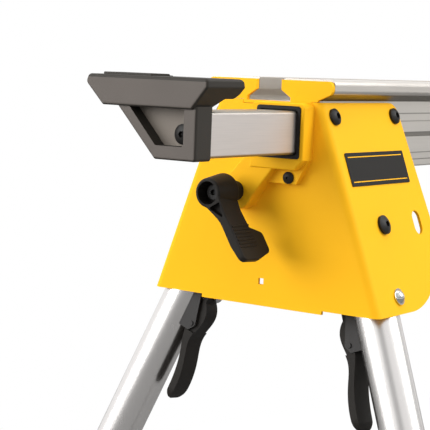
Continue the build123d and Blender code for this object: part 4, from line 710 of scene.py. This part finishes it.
def round_tip(mesh, down, width_way):
    """Narrows the lowest part of a lever across its width, along an ellipse."""
    width_way = (width_way - down * width_way.dot(down)).normalized()
    lowest = max(vert.co.dot(down) for vert in mesh.verts)
    tip = [vert for vert in mesh.verts if lowest - vert.co.dot(down) < TIP_LENGTH]
    places = [vert.co.dot(width_way) for vert in tip]
    middle = (min(places) + max(places)) / 2
    for vert, place in zip(tip, places):
        from_end = (lowest - vert.co.dot(down)) / TIP_LENGTH
        share = TIP_LEAST_SHARE + (1 - TIP_LEAST_SHARE) * math.sqrt(1 - (1 - from_end) ** 2)
        vert.co += width_way * ((place - middle) * (share - 1))


print("tip:", TIP_LENGTH * 1000, "mm long")

# %% Release levers
for end_name, end in (("left", -1), ("right", 1)):
    for side_name, side in (("front", -1), ("back", 1)):
        corner = f"{end_name}_{side_name}"
        solid_name = f"{corner}_release_lever"
        down = Vector((end * LEG_ALONG, side * LEG_ACROSS, -LEG_DOWN)).normalized()
        lever_mesh = merged_copy(nodes[solid_name])
        round_tip(lever_mesh, down, hinge_axes[f"{corner}_release_turn"])
        lever = show_piece(lever_mesh, f"{solid_name}_round", [lever_plastic])
        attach(lever, f"{corner}_release")
        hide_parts(solid_name)
print("release levers rounded")

# %% [markdown]
# ## The room
# The photograph is cut out on white. The world is white to the camera and to clear bodies, and gives matt
# surfaces a plain fill. Mirrors see it white as well, except for a narrow dim card near the camera and a
# dim low wall in front of the beam. Panels could be stood there as objects, but the other views would show
# them. The card and the wall draw the soft dark bands down a bright tube and keep the side of the beam from
# burning out.

# %% Rays that the room tells apart
def ray_signals(tree):
    """Three signals that are 1 on rays from the camera, from a reflection and through a clear body."""
    paths = tree.nodes.new("ShaderNodeLightPath")
    names = ("Is Camera Ray", "Is Glossy Ray", "Is Transmission Ray")
    return [Signal(tree, paths.outputs[name]) for name in names]


print("ray signals ready")

# %% World
FILL_LEVEL = 0.88
CARD_HEADING = math.radians(-154)
CARD_HALF_WIDTH, CARD_SOFTNESS, CARD_DIMMING = 0.1, 0.28, 0.5
WALL_HEADING = math.radians(-75)
WALL_HALF_WIDTH, WALL_SOFTNESS, WALL_DIMMING = 0.75, 0.6, 0.5
WALL_TOP_FROM, WALL_TOP_END = 0.2, 0.55


def build_world(tree):
    """Wires the world: its level depends on the kind of ray and, in mirrors, on where it looks."""
    seen_ray, mirrored_ray, clear_ray = ray_signals(tree)
    look = Signal.node(tree, "ShaderNodeTexCoord", output="Generated")
    along, across, rise = [Signal.node(tree, "ShaderNodeSeparateXYZ", sockets={"Vector": look}, output=letter)
                           for letter in "XYZ"]
    heading = across.maths("ARCTAN2", across, along)
    card = heading.near(CARD_HEADING, CARD_HALF_WIDTH, CARD_SOFTNESS)
    wall = heading.near(WALL_HEADING, WALL_HALF_WIDTH, WALL_SOFTNESS)
    wall = wall * (1 - rise.step(WALL_TOP_FROM, WALL_TOP_END))
    mirrored_level = 1 - card * CARD_DIMMING - wall * WALL_DIMMING
    level = FILL_LEVEL + (seen_ray + clear_ray) * (1 - FILL_LEVEL)
    level = level + mirrored_ray * (mirrored_level - FILL_LEVEL)
    light = Signal.node(tree, "ShaderNodeBackground", sockets={"Color": (1, 1, 1, 1), "Strength": level})
    world_output = tree.nodes.new("ShaderNodeOutputWorld")
    tree.links.new(light.socket, world_output.inputs["Surface"])


world = bpy.data.worlds.new("room")
bpy.context.scene.world = world
world.use_nodes = True
world.node_tree.nodes.clear()
build_world(world.node_tree)
print("room ready")

# %% [markdown]
# ## Lamps
# Two large soft lamps stand well apart, one to the left and behind the end sheet and one to the right and in
# front of the beam. The rounded fold between sheet and flange faces neither of them, so it shows as a
# darker band. A single lamp at the camera would be simpler, but it would flatten that fold. A weak lamp
# from above opens the shadows.

# %% Soft lamps
LAMPS_LOOK_AT = Vector((LEFT_END_X, 0, 0.6))
LAMP_DISTANCE = 3.6


def soft_lamp(name, heading, rise, size, power):
    """A square lamp that looks at the left end from a heading and a height angle, both in degrees."""
    away = direction(math.radians(heading), math.radians(rise))
    data = bpy.data.lights.new(name, "AREA")
    data.shape = "SQUARE"
    data.size = size
    data.energy = power
    lamp = bpy.data.objects.new(name, data)
    bpy.context.collection.objects.link(lamp)
    lamp.location = LAMPS_LOOK_AT + away * LAMP_DISTANCE
    lamp.rotation_mode = "QUATERNION"
    lamp.rotation_quaternion = (-away).to_track_quat("-Z", "Y")
    lamp.visible_camera = False


soft_lamp("left_lamp", heading=144, rise=20, size=2.6, power=123)
soft_lamp("front_lamp", heading=302, rise=36, size=2.2, power=93)
soft_lamp("top_lamp", heading=20, rise=80, size=2.5, power=26)
print("lamps ready")

# %% [markdown]
# ## Floor
# The stand needs something to stand on, though the photograph shows only white. Near the feet the floor
# is paper that takes the soft shadow, light to the camera and dim to everything else, which keeps the
# undersides dark. Farther out it fades to plain white for the camera and for reflections, so that no
# horizon shows. A floor that is white all over would swallow the shadow. The paper is an oval that is longer
# along the beam, as the stand is.

# %% Paper
PAPER_LIT = (0.5, 0.5, 0.498)
PAPER_DIM = (0.2, 0.2, 0.199)
PAPER_GLOW = (0.5, 0.5, 0.5)
NO_GLOW = (0, 0, 0)
OVAL_SHARES = (0.6, 1, 0)
WHITE_FROM, WHITE_FULL = 0.75, 1.3
MIRRORED_WHITE_FROM, MIRRORED_WHITE_FULL = 3, 6
LENGTH_OUTPUT = 1


def paper_finish():
    """Paper with a shadow near the stand, plain white farther away."""
    finish = Finish("floor_paper", PAPER_LIT, roughness=0.9, specular=0.1)
    seen_ray, mirrored_ray, clear_ray = ray_signals(finish.tree)
    finish.link("Base Color", finish.mix(seen_ray, PAPER_DIM, PAPER_LIT))
    finish.shader.inputs["Emission Strength"].default_value = 1
    finish.link("Emission Color", finish.mix(seen_ray, NO_GLOW, PAPER_GLOW))
    oval_place = finish.node("ShaderNodeMapping", sockets={"Vector": finish.place, "Scale": OVAL_SHARES})
    distance = finish.node("ShaderNodeVectorMath", {"operation": "LENGTH"}, {0: oval_place}, LENGTH_OUTPUT)
    share = distance.step(WHITE_FROM, WHITE_FULL) * (seen_ray + clear_ray)
    share = share + distance.step(MIRRORED_WHITE_FROM, MIRRORED_WHITE_FULL) * mirrored_ray
    white = finish.node("ShaderNodeEmission", sockets={"Color": (1, 1, 1, 1), "Strength": 1})
    paper = Signal(finish.tree, finish.shader.outputs["BSDF"])
    mixed = finish.node("ShaderNodeMixShader", sockets={0: share, 1: paper, 2: white})
    finish.tree.links.new(mixed.socket, finish.tree.nodes["Material Output"].inputs["Surface"])
    return finish.material


print("the floor turns white", WHITE_FULL, "m from its middle, to the front and the back")

# %% Floor
FLOOR_HALF_WIDTH = 30
floor_mesh = bmesh.new()
bmesh.ops.create_grid(floor_mesh, x_segments=1, y_segments=1, size=FLOOR_HALF_WIDTH)
floor = show_piece(floor_mesh, "floor", [paper_finish()])
print("stage ready")

# %% [markdown]
# ## Last settings
# The view that Blender starts with softens strong colours, while the Standard view keeps a colour as it is
# written.

# %% Colour view
bpy.context.scene.view_settings.view_transform = "Standard"
